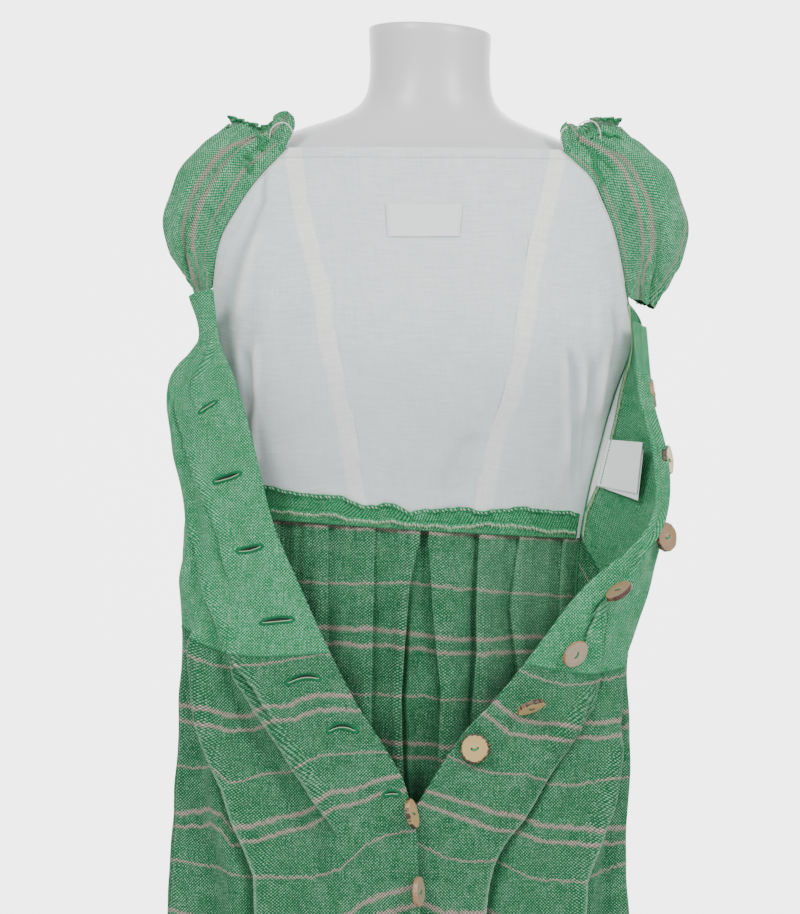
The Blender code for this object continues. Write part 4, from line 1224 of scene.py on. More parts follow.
for part, (low, high, count) in BACK_PANELS.items():
    across = np.linspace(low, high, count)
    grid = back_grid(across, BACK_ROWS)
    uv = lengths(grid)
    wide, tall = uv[..., 0].max(), uv[..., 1].max()
    relief = np.array([back_relief(across, level) for level in BACK_ROWS])
    keep_cloth(f"shell_back_{part}", lift(grid, -(SHELL_DEPTH + relief)), uv, LINEN,
               [f"back_bodice_{part}"], 0)
    under = LINING_UNDERLAP if part == "centre" else 0
    across = np.linspace(low - under, high + under, count)
    grid = back_grid(across, BACK_ROWS)
    bands, far = seam_bands(grid, part)
    uv = lengths(grid)
    relief = np.array([back_relief(across, level) for level in BACK_ROWS])
    relief += rumple(uv, 0.055, 11) * 0.35 * MM * ease((BACK_ROWS[:, None] + 1) / 0.2)
    relief += bands * 0.12 * MM - (part == "centre") * 0.05 * MM
    lining = keep_cloth(f"lining_back_{part}", lift(grid, -(LINING_DEPTH + relief)), uv, LINING,
                        [f"back_lining_{part}"], 0,
                        None, lining_painted_light(across, BACK_ROWS))
    add_layer(lining.data, "bands", np.stack([bands, bands], -1))

# %% [markdown]
# ## The neckline's edge stitch
# The lining is turned at the neckline and held by one row of fine stitches, a centimetre below the edge.

# %% Neckline stitches
EDGE_STITCH_LEVEL = -0.925
across = np.linspace(0.03, 0.97, 260)
edge = back_grid(across, EDGE_STITCH_LEVEL + 0.002 * np.arange(3))
yarns("neckline_stitches", stitch_paths(lift(edge, -1.75 * MM)[1]), 0.28 * MM, CREAM_THREAD)

# %% [markdown]
# ## The back skirt
# Seen from inside, the back skirt is laid in knife pleats that turn away from a box pleat at the centre.
# They are held flat by the waist seam and open towards the hem. Rounding the crest and the step of each
# pleat makes it cloth rather than folded card.

# %% Pleats
PLEAT_LINES = (0.0, 0.07, 0.198, 0.322, 0.446, 0.567, 0.6, 0.73, 0.834, 0.955, 1.0)
CENTRE_PLEAT = 5
PLEAT_CREST = 0.86
PLEAT_AT_WAIST = 2.5
PLEAT_AT_HEM = 15.0


def pleat_height(across, level):
    """How far the pleats stand towards the inside, in mm."""
    k = np.clip(np.searchsorted(PLEAT_LINES, across, "right") - 1, 0, len(PLEAT_LINES) - 2)
    lines = np.array(PLEAT_LINES)
    phase = (across - lines[k]) / (lines[k + 1] - lines[k])
    phase = np.where(k > CENTRE_PLEAT, 1 - phase, phase)
    rise = np.where(phase < PLEAT_CREST, phase / PLEAT_CREST, (1 - phase) / (1 - PLEAT_CREST))
    rise = np.where(k == CENTRE_PLEAT, -0.6 * np.sin(math.pi * phase), rise)
    return rise * mix(PLEAT_AT_WAIST, PLEAT_AT_HEM, ease((level - 1) / 0.8))


def soften(values, times):
    """Round the corners of a row of heights."""
    for _ in range(times):
        values = np.convolve(np.pad(values, 1, "edge"), [0.25, 0.5, 0.25], "valid")
    return values


print("pleats at", ", ".join(f"{100 * line:.0f}" for line in PLEAT_LINES), "% of the width")

# %% [markdown]
# ## The cloth of the back skirt
# Creases follow the pleats' edges and fade out half-way down, small gathers ripple below the waist seam, and
# a slow unevenness covers all. The stripes follow the cloth, and the seam has taken up a few millimetres
# of it, so the first stripe starts a little way into the repeat.

# %% Back skirt
# height in mm, which side lies over, soft width, path as (level, across)
BACK_FOLDS = [
    (3.0, -1, 0.04, [(0.9, 0.2), (1.05, 0.203), (1.3, 0.198), (1.7, 0.198)]),
    (3.0, -1, 0.04, [(0.9, 0.322), (1.07, 0.328), (1.14, 0.328), (1.7, 0.322)]),
    (4.5, -1, 0.05, [(0.9, 0.446), (1.07, 0.448), (1.215, 0.445), (1.7, 0.446)]),
    (6.5, -1, 0.02, [(0.9, 0.572), (1.022, 0.566), (1.048, 0.553), (1.074, 0.54), (1.152, 0.527), (1.215, 0.518),
                      (1.29, 0.521), (1.7, 0.55)]),
    (6.0, 1, 0.05, [(0.9, 0.59), (1.025, 0.598), (1.069, 0.613), (1.116, 0.622), (1.202, 0.637), (1.272, 0.628),
                    (1.7, 0.6)]),
    (6.0, 1, 0.04, [(0.9, 0.724), (1.069, 0.735), (1.152, 0.734), (1.233, 0.714), (1.7, 0.73)]),
    (4.0, 1, 0.04, [(0.9, 0.845), (1.03, 0.836), (1.1, 0.823), (1.176, 0.838), (1.7, 0.834)]),
    (3.0, 1, 0.03, [(0.9, 0.955), (1.2, 0.96), (1.7, 0.955)]),
]
BACK_LIP = 0.0065
BACK_STRIPE_START = 0.0612
BACK_STRIPE_EASE = 0.0085


def gathers(uv, pitch, seed):
    """Fine uneven ripples that run down from a gathered edge."""
    draw = np.random.default_rng(seed)
    total = 0.0
    for rate in (1.0, 1.7, 0.6):
        start = draw.uniform(0, math.tau)
        total = total + np.sin(uv[..., 0] * math.tau * rate / pitch + start + uv[..., 1] * draw.uniform(-9, 9))
    return total / 2


across = np.linspace(-0.006, 1.006, 390)
levels = np.concatenate([np.linspace(1.0001, 1.3, 92), np.linspace(1.3, 2.0, 44)[1:]])
grid = back_grid(across, levels)
uv = lengths(grid)
heights, slides, painted_light = [], [], []
for level in levels:
    fade = mix(0.55, 1.0, ease((level - 1) / 0.12)) * ease((1.7 - level) / 0.3)
    # Painted shade in the pleats' hollows and painted highlight on their crests; the right part gets extra painted
    # light, as it lies in the right front's shadow.
    rise, slide, painted_shade, painted_highlight = fade * fold_row(BACK_FOLDS, across, level, BACK_LIP)
    painted_highlight = 0.35 * painted_highlight + 0.16 * ease((across - 0.6) / 0.2) * (1 - painted_shade)
    heights.append(soften(pleat_height(across, level), 5) + rise)
    slides.append(slide)
    painted_light.append(np.stack([painted_shade, painted_highlight], -1))
heights, slides = np.array(heights), np.array(slides)
down = levels[:, None] - 1
heights += gathers(uv, 0.016, 5) * 1.1 * np.exp(-down / 0.07)
heights += rumple(uv, 0.06, 21) * 1.6 * ease(down / 0.1)
calm = ease(across / 0.015) * ease((1 - across) / 0.015)
grid[..., 1] -= heights * calm * MM
grid[..., 0] += slides * calm * MM
run = uv[..., 1]
weft = run + BACK_STRIPE_START - BACK_STRIPE_EASE * ease((run - 0.006) / 0.054)
weft -= rumple(uv, 0.12, 22) * 2.0 * MM * ease(run / 0.03) + rumple(uv, 0.02, 23) * 0.5 * MM
keep_cloth("skirt_back", lift(grid, -SHELL_DEPTH), uv, STRIPED, ["back_skirt"],
           0, weft, np.array(painted_light))

# %% [markdown]
# ## The waist seam's allowances
# Bodice and skirt are sewn right sides together, and both allowances stand up inside. Each raw edge is
# overlocked: a loop of thread wraps it, and the edge waves a little because the thread pulls it.

# %% Waist allowances
def back_strip(top_levels, bottom, rows):
    """Grid on the back between a wavy upper edge and a straight lower level."""
    across = np.linspace(0.012, 0.988, len(top_levels))
    grid = []
    for share in np.linspace(0, 1, rows):
        row = [back_row(np.array([a]), mix(top, bottom, share))[0] for a, top in zip(across, top_levels)]
        grid.append(row)
    return np.array(grid)


STRIP_COLUMNS = 300
# across, level of the upper edge
UPPER_EDGE = [(0.0, 0.88), (0.136, 0.895), (0.198, 0.915), (0.279, 0.917), (0.319, 0.94), (0.357, 0.944),
              (0.389, 0.93), (0.42, 0.935), (0.468, 0.953), (0.56, 0.941), (0.623, 0.93), (0.685, 0.943),
              (0.744, 0.932), (0.833, 0.925), (0.956, 0.935), (1.0, 0.938)]
LOWER_EDGE = [(0.0, 0.972), (0.256, 0.972), (0.286, 0.98), (0.435, 0.981), (0.564, 0.985), (0.659, 0.979),
              (0.748, 0.969), (0.809, 0.973), (0.871, 0.979), (1.0, 0.984)]
for name, node, edge, depth, thread, fleck, seed, cut in (
    ("waist_allowance_upper", "waist_allowance_bodice", UPPER_EDGE, 2.4 * MM, BRIGHT_THREAD, CREAM_THREAD, 3,
     (0.36, 0.03, 0.9)),
    ("waist_allowance_lower", "waist_allowance_skirt", LOWER_EDGE, 4.1 * MM, SAGE_THREAD, CREAM_THREAD, 4,
     (0.36, 0.012, 0.75)),
):
    across = np.linspace(0, 1, STRIP_COLUMNS)
    tops = np.interp(across, [a for a, _ in edge], [level for _, level in edge])
    draw = np.random.default_rng(seed)
    for rate in (7, 13, 29):
        tops = tops + np.sin(across * math.tau * rate + draw.uniform(0, 6)) * 0.016 / rate**0.6 * 0.4
    grid = back_strip(tops, 1.0015, 9)
    uv = lengths(grid)
    curl = np.linspace(1, 0, 9)[:, None] ** 2
    grid[..., 1] -= depth + curl * (rumple(uv, 0.03, seed) * 1.0 + 0.8) * MM
    keep_cloth(name, grid, uv, SEAM_LINEN, [node])
    inwards = np.array([(0, 0, -1.0)] * STRIP_COLUMNS)
    out = np.array([(0, -1.0, 0)] * STRIP_COLUMNS)
    for k, (yarn, radius, wide, pitch) in enumerate(((thread, 0.55, 4.2, 1.5), (fleck, 0.5, 2.6, 4.1))):
        bars = overlock(grid[0] - out * 0.2 * MM + out * 0.4 * k * MM, inwards, out, wide * MM, pitch * MM, seed + k)
        yarns(f"{name}_overlock_{k}", bars, radius * MM, yarn, 4)
    yarns(f"{name}_edge", [grid[0] + [0, -0.4 * MM, 0.2 * MM]], 0.75 * MM, BRIGHT_THREAD)

# %% [markdown]
# ## The fronts
# Each front is a bodice panel above the waist seam and a skirt panel below it, both on the front's sewn
# surface. Where the skirt's cloth is eased into the waist, its stripes step up and down, so a table says how
# far each one lies from its even place.

# %% Where the weft runs
WEFT_COLUMNS = {
    "left": (-1.0, -0.1, 0.16, 0.34, 0.42, 0.46, 0.56, 0.67, 0.715, 0.76, 0.8, 0.87, 0.93, 1.0),
    "right": (-1.0, -0.14, 0.1, 0.3, 0.48, 0.6, 0.72, 0.85, 1.0),
}
# even place below the waist seam in mm, then how far lower it lies at each column
WEFT_SHIFTS = {
    "left": [
        (9, 8, 12, 12, 9, 7, 5, 2, -2, -3, -4, -5, -5, -5, -5),
        (50.5, 10, 20, 13, 7, 5, 6, 5, -3, -4, -6, -9, -11, -9, -5),
        (105, 10, 18, 9, 0, 2, 12, 5, 4, 2, -8, -13, -12, -10, -5),
        (146.5, 10, 20, 6, -7, -4, 8, 4, -2, -5, -14, -21, -21, -24, -22),
        (201, 8, 10, -7, -11, -12, -9, -6, -2, -3, -6, -10, -28, -30, -26),
        (300, 4, 4, -4, -6, -6, -5, -3, -2, -2, -5, -8, -14, -16, -16),
        (760, 0, 0, 0, 0, 0, 0, 0, 0, 0, 0, 0, 0, 0, 0),
    ],
    "right": [
        (9, 12, 20, 4, 0, -1, 0, 3, 2, 0),
        (50.5, 8, 0, -3, -4, -5, -5, -2, 2, -6),
        (105, 8, 8, -2, -9, -3, 0, -9, -2, 0),
        (146.5, 8, 10, 0, -8, -9, -6, -13, -12, -6),
        (201, 0, -14, -22, -22, -17, -14, -26, -16, -15),
        (300, 0, -6, -12, -10, -8, -8, -12, -8, -8),
        (760, 0, 0, 0, 0, 0, 0, 0, 0, 0),
    ],
}
# how far below each of those places the stripes keep their own spacing, in mm
WEFT_STIFF = (4, 17, 4, 17, 4, 4, 4)


def weft_places(side, around, run):
    """Turn distance below the waist seam into the warp coordinate that stripes are woven at."""
    rows = WEFT_SHIFTS[side]
    even = np.array([0.0] + [row[0] + off for row, after in zip(rows, WEFT_STIFF) for off in (-4, after)]) * MM
    found = np.empty_like(run)
    for c, a in enumerate(around):
        shifts = [0.0] + [np.interp(a, WEFT_COLUMNS[side], row[1:]) * MM for row in rows for _ in range(2)]
        places = np.maximum.accumulate(even + shifts + np.arange(len(even)) * 1e-6)
        found[:, c] = np.interp(run[:, c], places, even)
    return found


print("stripes placed at", {side: len(rows) - 1 for side, rows in WEFT_SHIFTS.items()}, "depths")

# %% [markdown]
# ## The cloth of a front
# The soft folds move the sewn surface along its normals. Then creases and a fine rumple move the folded cloth
# along its own. At the placket the cloth rolls inwards and runs back behind itself, as a round doubled edge.

# %% Front grids
WAIST_HEIGHT = 0.97
BODICE_AROUND = np.concatenate([np.linspace(-1.0, 0.0, SIDE_COLUMNS)[:-1], np.linspace(0.0, 1.0, 200)])
BODICE_ROWS = np.linspace(0.0, 1.0, 126)
SKIRT_AROUND = np.concatenate([np.linspace(-1.0, 0.0, SIDE_COLUMNS)[:-1], np.linspace(0.0, 1.0, 270)])
SKIRT_ROWS = np.concatenate([np.linspace(1.0, 1.36, 165), np.linspace(1.36, 2.0, 50)[1:]])
TURNED_EDGE = 12 * MM
ROLL_RADIUS = 1.1 * MM
OUTWARDS = {"left": -1, "right": 1}


def front_grid(side, around, levels, creased=True):
    """Grid of a front on its sewn surface, with its folds, and with its creases too if asked."""
    around = np.broadcast_to(around, (len(levels), np.shape(around)[-1]))
    grid = np.array([front_row(side, row, level) for row, level in zip(around, levels)])
    heights = np.array([fold_height(side, row, level) for row, level in zip(around, levels)])
    folded = lift(grid, OUTWARDS[side] * heights * MM)
    if not creased:
        return folded
    uv = lengths(folded)
    found = [creases(side, row, level) for row, level in zip(around, levels)]
    rise, slide = np.array([up for up, _ in found]), np.array([along_row for _, along_row in found])
    levels = np.asarray(levels)[:, None]
    seam = ease(np.abs(levels - 1) / 0.06)
    folded[..., 2] += (side == "left") * 7 * MM * bell(around - 0.2, 0.2) * bell(levels - 1, 0.12)
    rise += rumple(uv, 0.045, 31) * 0.55 * ease((0.99 - around) / 0.06) * seam
    rise += rumple(uv, 0.11, 32) * 0.9 * ease((0.95 - around) / 0.3) * ease((around + 1) / 0.2) * seam
    sideways = unit(np.gradient(folded, axis=1))
    return lift(folded, OUTWARDS[side] * rise * MM) + sideways * slide[..., None] * MM


def turned_edge(side, grid, uv):
    """Roll the placket's edge inwards and carry the cloth back a little way behind itself."""
    out = OUTWARDS[side] * grid_normals(grid)[:, -1]
    ahead = unit(grid[:, -1] - grid[:, -2])
    centre = grid[:, -1] - out * ROLL_RADIUS
    columns = [centre + ROLL_RADIUS * (out * math.cos(turn) + ahead * math.sin(turn))
               for turn in (0.5, 1.1, 1.7, 2.4, math.pi)]
    columns += [columns[-1] - ahead * TURNED_EDGE * share for share in (0.4, 1.0)]
    more = np.stack(columns, 1)
    grid = np.concatenate([grid, more], 1)
    run = np.cumsum(np.linalg.norm(np.diff(grid[:, -len(columns) - 1:], axis=1), axis=2), axis=1)
    sides = np.stack([uv[:, -1:, 0] + run, np.repeat(uv[:, -1:, 1], len(columns), 1)], -1)
    return grid, np.concatenate([uv, sides], 1)


def widened(values, grid, way="constant"):
    """Values of a panel, carried on over the columns of its turned edge."""
    more = [(0, 0), (0, grid.shape[1] - values.shape[1]), (0, 0)]
    return np.pad(values, more[:values.ndim], way)


print("a bodice front has", len(BODICE_ROWS), "rows, a skirt front", len(SKIRT_ROWS))

# %% [markdown]
# ## The four panels
# The weave is measured on cloth that has only its soft folds, so it stays square while creases pull the
# surface about. `SURFACES` keeps each finished panel, for the seams and buttonholes that are sewn on later.

# %% Front panels
SURFACES = {}
GRAIN_LINES = {"left": -0.196, "right": 0.165}


def front_piece(side, part, rows, around, grid, uv, finish, weft=None):
    """Turn a panel's edge, set it just behind the sewn surface, give it painted shade and highlight for its creases
    and waist seam, and keep it.
    """
    grid, uv = turned_edge(side, grid, uv)
    grid = lift(grid, -OUTWARDS[side] * SHELL_DEPTH)
    SURFACES[side, part] = rows, around, grid, OUTWARDS[side] * grid_normals(grid)
    weft = None if weft is None else widened(weft, grid, "edge")
    keep_cloth(f"{part}_front_{side}", grid, uv, finish, [f"front_{part}_{side}"], 0,
               weft, widened(front_painted_light(side, around, rows), grid))


for side in ("left", "right"):
    folded = front_grid(side, BODICE_AROUND, BODICE_ROWS, creased=False)
    front_piece(side, "bodice", BODICE_ROWS, BODICE_AROUND, front_grid(side, BODICE_AROUND, BODICE_ROWS),
                straight_grain(folded, GRAIN_LINES[side], WAIST_HEIGHT), LINEN)
    folded = front_grid(side, SKIRT_AROUND, SKIRT_ROWS, creased=False)
    uv = lengths(folded)
    weft = weft_places(side, SKIRT_AROUND, uv[..., 1])
    weft += (rumple(uv, 0.1, 41) * 1.5 + rumple(uv, 0.03, 42) * 0.5 + rumple(uv, 0.012, 43) * 0.35) * MM
    grid = front_grid(side, SKIRT_AROUND, SKIRT_ROWS)
    pinch = gathers(lengths(grid), 0.022, 6) * 0.8 * np.exp(-(SKIRT_ROWS[:, None] - 1) / 0.05)
    grid = lift(grid, OUTWARDS[side] * pinch * ease((0.8 - SKIRT_AROUND) / 0.3) * MM)
    front_piece(side, "skirt", SKIRT_ROWS, SKIRT_AROUND, grid,
                straight_grain(folded, GRAIN_LINES[side], WAIST_HEIGHT), STRIPED,
                weft)

# %% [markdown]
# ## Inside the right front
# Past the side seam the open right front shows its own inside: first a strip of lining, then the linen
# facing that doubles the placket. The facing's raw edge is overlocked where it lies on the lining.

# %% Right facing and lining
FACING_EDGE = [(0.0, -0.965), (0.326, -0.953), (0.554, -0.915), (0.708, -0.897), (0.802, -0.911), (0.88, -0.95),
               (0.93, -0.985), (1.0, -0.985)]


def inside_front(name, low, high, count, depth, finish, node):
    folded = front_grid("right", np.linspace(low, high, count).T, BODICE_ROWS[:-1])
    return keep_cloth(name, lift(folded, -depth), lengths(folded), finish, [node],
                      0), folded


right_lining, _ = inside_front("lining_front_right", -0.99, -0.7, 30, 0.95 * MM, LINING,
                               "front_lining_right")
add_layer(right_lining.data, "bands", np.full((len(BODICE_ROWS) - 1, 30, 2), 0.6))
facing_low = np.interp(BODICE_ROWS[:-1], *zip(*FACING_EDGE))
_, facing = inside_front("facing_front_right", facing_low, 0.965 + 0 * facing_low, 130, 2.4 * MM, LINEN,
                         "front_facing_right")
edge = lift(facing, -2.6 * MM)
inwards = unit(edge[:, 4] - edge[:, 0])
out = -grid_normals(edge)[:, 0]
yarns("facing_overlock", overlock(edge[:, 0], inwards, out, 4.4 * MM, 1.5 * MM, 7), 0.6 * MM, SAGE_THREAD,
      4)
yarns("facing_edge", [edge[:, 0] + out * 0.4 * MM], 0.55 * MM, BRIGHT_THREAD)
seam = lift(back_grid(np.array([0.985, 0.992, 0.999]), BACK_ROWS), -1.6 * MM)
yarns("side_seam_cord", [seam[58:, 2]], 0.7 * MM, GREEN_THREAD)

# %% [markdown]
# ## Puff sleeves
# A puff sleeve is a wide panel drawn up at the shoulder and again under the arm. Its cross-section is a
# smooth curve through five points: the armhole seam, the outermost line, the rear edge, and a crown between
# each pair. A table gives them at seven heights, from the shoulder to the underarm.

# %% Sleeve tables
# level, outer x, y, z, rear x, y, z, puff
SLEEVE = {
    "left": [
        (0.0, -184, -5, 1432, -150, 50, 1412, 8),
        (0.15, -213, -12, 1409, -160, 59, 1396, 22),
        (0.3, -230, -20, 1384, -167, 66, 1376, 31),
        (0.5, -241, -26, 1342, -170, 68, 1342, 35),
        (0.7, -235, -30, 1313, -172, 62, 1312, 28),
        (0.85, -221, -34, 1290, -184, 40, 1292, 17),
        (1.0, -213, -36, 1277, -202, -8, 1281, 7),
    ],
    "right": [
        (0.0, 174, -5, 1430, 145, 50, 1404, 8),
        (0.15, 205, -12, 1402, 154, 59, 1388, 22),
        (0.3, 224, -20, 1375, 161, 66, 1368, 31),
        (0.5, 235, -26, 1333, 164, 68, 1334, 35),
        (0.7, 229, -30, 1302, 167, 62, 1304, 28),
        (0.85, 214, -34, 1278, 178, 40, 1284, 17),
        (1.0, 203, -36, 1262, 190, -8, 1268, 7),
    ],
}
SEAM_OFFSET = {"left": -1.6, "right": 1.6}


def sleeve_lines(side, level):
    """Armhole seam, outermost and rear points of a sleeve in mm, and its puff."""
    row = read(SLEEVE[side], level)
    seam = back_row(np.array([0.0 if side == "left" else 1.0]), -1 + level * 0.985)[0] / MM
    seam = seam + [SEAM_OFFSET[side], -0.6, 0]
    return seam, row[1:4], row[4:7], row[7]


def sleeve_row(side, around, level):
    seam, outer, rear, puff = sleeve_lines(side, level)
    above = sleeve_lines(side, max(level - 0.06, 0))
    below = sleeve_lines(side, min(level + 0.06, 1))
    facing = 1 if side == "left" else -1
    points = [seam]
    for a, b, k, fullness in ((seam, outer, 0, 1.0), (outer, rear, 1, 0.8)):
        down = (below[k] + below[k + 1]) - (above[k] + above[k + 1])
        away = np.cross(b - a, down)
        away *= facing / np.linalg.norm(away)
        points += [(a + b) / 2 + away * puff * fullness, b]
    rows = [(k / 4, *p) for k, p in enumerate(points)]
    return np.stack(read(rows, around)[1:], -1) * MM


print("sleeve heights:", {side: len(rows) for side, rows in SLEEVE.items()})

# %% [markdown]
# ## Gathers and stripes of the sleeves
# Gathering threads pull many small folds into a short edge. They run down from both ends and fade towards
# the middle, where the cloth balloons. A few deeper creases follow paths. The sleeve is cut along the stripe,
# so its stripes run from shoulder to underarm, and a table says where each one shows past the deep tuck.

# %% Sleeves
SLEEVE_COLUMNS = 240
SLEEVE_ROWS = np.linspace(0.004, 0.996, 90)
# distance from the armhole seam, and the warp coordinate woven there, in mm; a deep tuck hides some cloth
SLEEVE_STRIPES = {
    "left": [(0, -5), (15.5, 9), (31.5, 50.5), (42.5, 63.5), (60, 85), (200, 230)],
    "right": [(0, 1), (6, 9), (30, 50.5), (39, 63.5), (60, 87), (200, 232)],
}
# height in mm, width on each side, path as (level, around)
SLEEVE_CREASES = {
    "left": [
        (6.0, 0.06, 0.014, [(0.0, 0.15), (0.3, 0.13), (0.7, 0.15), (1.0, 0.26)]),
        (-5.0, 0.018, 0.05, [(0.0, 0.175), (0.3, 0.155), (0.7, 0.175), (1.0, 0.285)]),
        (3.0, 0.04, 0.03, [(0.0, 0.36), (0.4, 0.36), (0.9, 0.42)]),
        (-2.5, 0.05, 0.05, [(0.1, 0.46), (0.6, 0.5), (1.0, 0.52)]),
        (2.5, 0.05, 0.05, [(0.0, 0.62), (0.5, 0.66), (1.0, 0.6)]),
        (-2.5, 0.05, 0.05, [(0.0, 0.8), (0.5, 0.78), (1.0, 0.74)]),
    ],
    "right": [
        (5.0, 0.05, 0.014, [(0.0, 0.14), (0.3, 0.13), (0.7, 0.16), (1.0, 0.26)]),
        (-4.0, 0.018, 0.05, [(0.0, 0.165), (0.3, 0.155), (0.7, 0.185), (1.0, 0.285)]),
        (3.0, 0.04, 0.03, [(0.0, 0.34), (0.4, 0.38), (0.9, 0.44)]),
        (-2.5, 0.05, 0.05, [(0.1, 0.48), (0.6, 0.52), (1.0, 0.52)]),
        (2.5, 0.05, 0.05, [(0.0, 0.64), (0.5, 0.66), (1.0, 0.62)]),
        (-2.5, 0.05, 0.05, [(0.0, 0.8), (0.5, 0.8), (1.0, 0.76)]),
    ],
}


def path_folds(creases, across, levels):
    heights = np.zeros((len(levels), len(across)))
    for height, before, after, path in creases:
        stops = [at for at, _ in path]
        off = across[None, :] - np.interp(levels, stops, [place for _, place in path])[:, None]
        heights += height * np.where(off < 0, bell(off, before), bell(off, after))
    return heights


PUFFS = {}
for side, inner in (("left", -1), ("right", 1)):
    across = np.linspace(0, 1, SLEEVE_COLUMNS)
    grid = np.array([sleeve_row(side, across, level) for level in SLEEVE_ROWS])
    uv = lengths(grid)
    ends = ease(across / 0.06) * ease((1 - across) / 0.06)
    top = np.exp(-SLEEVE_ROWS[:, None] / 0.13)
    low = np.exp(-(1 - SLEEVE_ROWS[:, None]) / 0.11)
    ripple = gathers(uv, 0.013, 8) * 2.2 * top + gathers(uv, 0.012, 9) * 1.6 * low
    heights = (ripple + path_folds(SLEEVE_CREASES[side], across, SLEEVE_ROWS)) * ends
    heights += rumple(uv, 0.05, 12) * 0.8 * ends
    grid = lift(grid, -inner * heights * MM)
    PUFFS[side] = grid
    widest = uv[uv.shape[0] // 2, :, 0]
    stripes = np.broadcast_to(np.interp(widest / MM, *zip(*SLEEVE_STRIPES[side])) * MM, uv.shape[:2])
    keep_cloth(f"puff_{side}", lift(grid, inner * SHELL_DEPTH), uv, SLEEVE_LINEN_PAINTED_LIGHTER,
               [f"sleeve_{side}"], 0,
               stripes + rumple(uv, 0.06, 13) * 1.2 * MM)

# %% [markdown]
# ## The gathered headings
# At the shoulder the sleeve's top edge is drawn up on elastic, and its allowance stands up as a small
# crumpled heading. It is a strip much longer than the edge it is sewn to, so it folds back and forth more
# towards its free edge, which is overlocked in a brighter green. Some of the serging has come off as loose
# tails: each is a curve that hangs over the puff, with the same slanted threads on it.

# %% Headings
HEADING_COLUMNS = 300
HEADING_ROWS = 14
HEADING_SPAN = (0.02, 0.56)
# across, height in mm
HEADING_TOPS = {
    "left": [(0.02, 15), (0.05, 23), (0.08, 27), (0.12, 22), (0.16, 10), (0.2, 5), (0.3, 4), (0.38, 5),
             (0.44, 4), (0.5, 6), (0.56, 4)],
    "right": [(0.02, 15), (0.06, 20), (0.1, 16), (0.16, 10), (0.24, 12), (0.32, 10), (0.4, 7), (0.48, 5),
              (0.56, 3)],
}
# which of the heading's points still show their serging
HEADING_SERGED = {"left": ((108, 292),), "right": ((140, 292),)}
# serged ends that hang down over the puff, x and z in mm
HEADING_TAILS = {
    "left": [[(-163, 1413), (-158, 1414), (-153, 1409), (-156, 1404), (-151, 1400)],
             [(-168, 1396), (-162, 1391), (-167, 1386), (-162, 1379)]],
    "right": [[(150, 1416), (157, 1419), (163, 1415), (168, 1416), (173, 1413)],
             [(144, 1402), (148, 1393), (148, 1384), (153, 1375), (155, 1368)]],
}


def on_puff(side, x, z):
    """The puff's frontmost spot at one x and z, a little proud of the cloth, all in mm."""
    spots = PUFFS[side].reshape(-1, 3) / MM
    near = spots[np.argsort(np.hypot(spots[:, 0] - x, spots[:, 2] - z))[:14]]
    return x, near[:, 1].min() - 2.0, z


for side, inner in (("left", -1), ("right", 1)):
    across = np.linspace(*HEADING_SPAN, HEADING_COLUMNS)
    base = sleeve_row(side, across, 0.0)
    up = unit(base - sleeve_row(side, across, 0.08))
    flat_uv = np.stack([across * 0.2, np.zeros(HEADING_COLUMNS)], -1)[None]
    tall = np.interp(across, *zip(*HEADING_TOPS[side])) + rumple(flat_uv, 0.012, 17)[0] * 1.2
    shares = np.concatenate([[-0.6, -0.3], np.linspace(0, 1, HEADING_ROWS - 2)])
    grid = []
    for share in shares:
        rise = np.maximum(share, 0) * tall * MM + min(share, 0) * 9 * MM
        inward = np.array([-inner, 0, 0]) * ((0.4 if side == "left" else 0.1) * ease((0.12 - across) / 0.1))[:, None]
        lean = up if share < 0 else 0.25 * up + np.array([0, -0.15, 0.9]) + inward
        grid.append(base + lean * rise[:, None])
    grid = np.array(grid)
    shares = np.maximum(shares, 0)
    run = np.cumsum(np.linalg.norm(np.diff(base, axis=0, prepend=base[:1]), axis=1)) / MM
    ruffle = np.sin(run * math.tau / 9.5 + 1.1 * np.sin(run / 6.0)) + 0.5 * np.sin(run * math.tau / 5.2 + 2.0)
    ends = ease((across - HEADING_SPAN[0]) / 0.03) * ease((HEADING_SPAN[1] - across) / 0.03)
    uneven = 0.55 + 0.45 * np.sin(run / 4.3 + 1.7 * np.sin(run / 11.0))
    out = shares[:, None] ** 0.8 * (ruffle * uneven)[None, :] * 3.6 * (0.4 + 0.6 * ends[None, :])
    grid = lift(grid, -inner * (out - 1.2 * shares[:, None] ** 2) * MM)
    uv = lengths(grid)
    keep_cloth(f"heading_{side}", grid, uv, SLEEVE_LINEN_PAINTED_LIGHTER, [f"sleeve_frill_{side}"],
               0.9 * MM, uv[..., 0] - 0.012)
    top, below = grid[-1], grid[-3]
    inwards = unit(below - top)
    normal = -inner * grid_normals(grid)[-1]
    for k, (start, end) in enumerate(HEADING_SERGED[side]):
        part = slice(start, end)
        for face, sign in (("front", 1), ("rear", -1)):
            bars = overlock(top[part], inwards[part], sign * normal[part], 3.2 * MM, 1.5 * MM, 20 + k)
            yarns(f"heading_{side}_overlock_{face}_{k}", bars, 0.6 * MM, BRIGHT_THREAD, 4)
    for k, places in enumerate(HEADING_TAILS[side]):
        line = smooth_path([on_puff(side, x, z) for x, z in places], 50)
        inwards, out = np.tile([0.8, 0, 0.6], (50, 1)), np.tile([0, -1.0, 0], (50, 1))
        bars = overlock(line, inwards, out, 3.4 * MM, 1.1 * MM, 30 + k)
        yarns(f"heading_{side}_tail_{k}", bars + [line], 0.6 * MM, BRIGHT_THREAD, 4)
    print(f"heading {side}: up to", round(tall.max()), "mm high")

# %% [markdown]
# ## Elastic and armhole threads
# The elastic was left long at both shoulders, so its pale thread stands out in loose loops, each a smooth
# curve through a few points. A cream yarn edges the lining along the armhole, and beside it the sleeve's own
# allowance is overlocked.

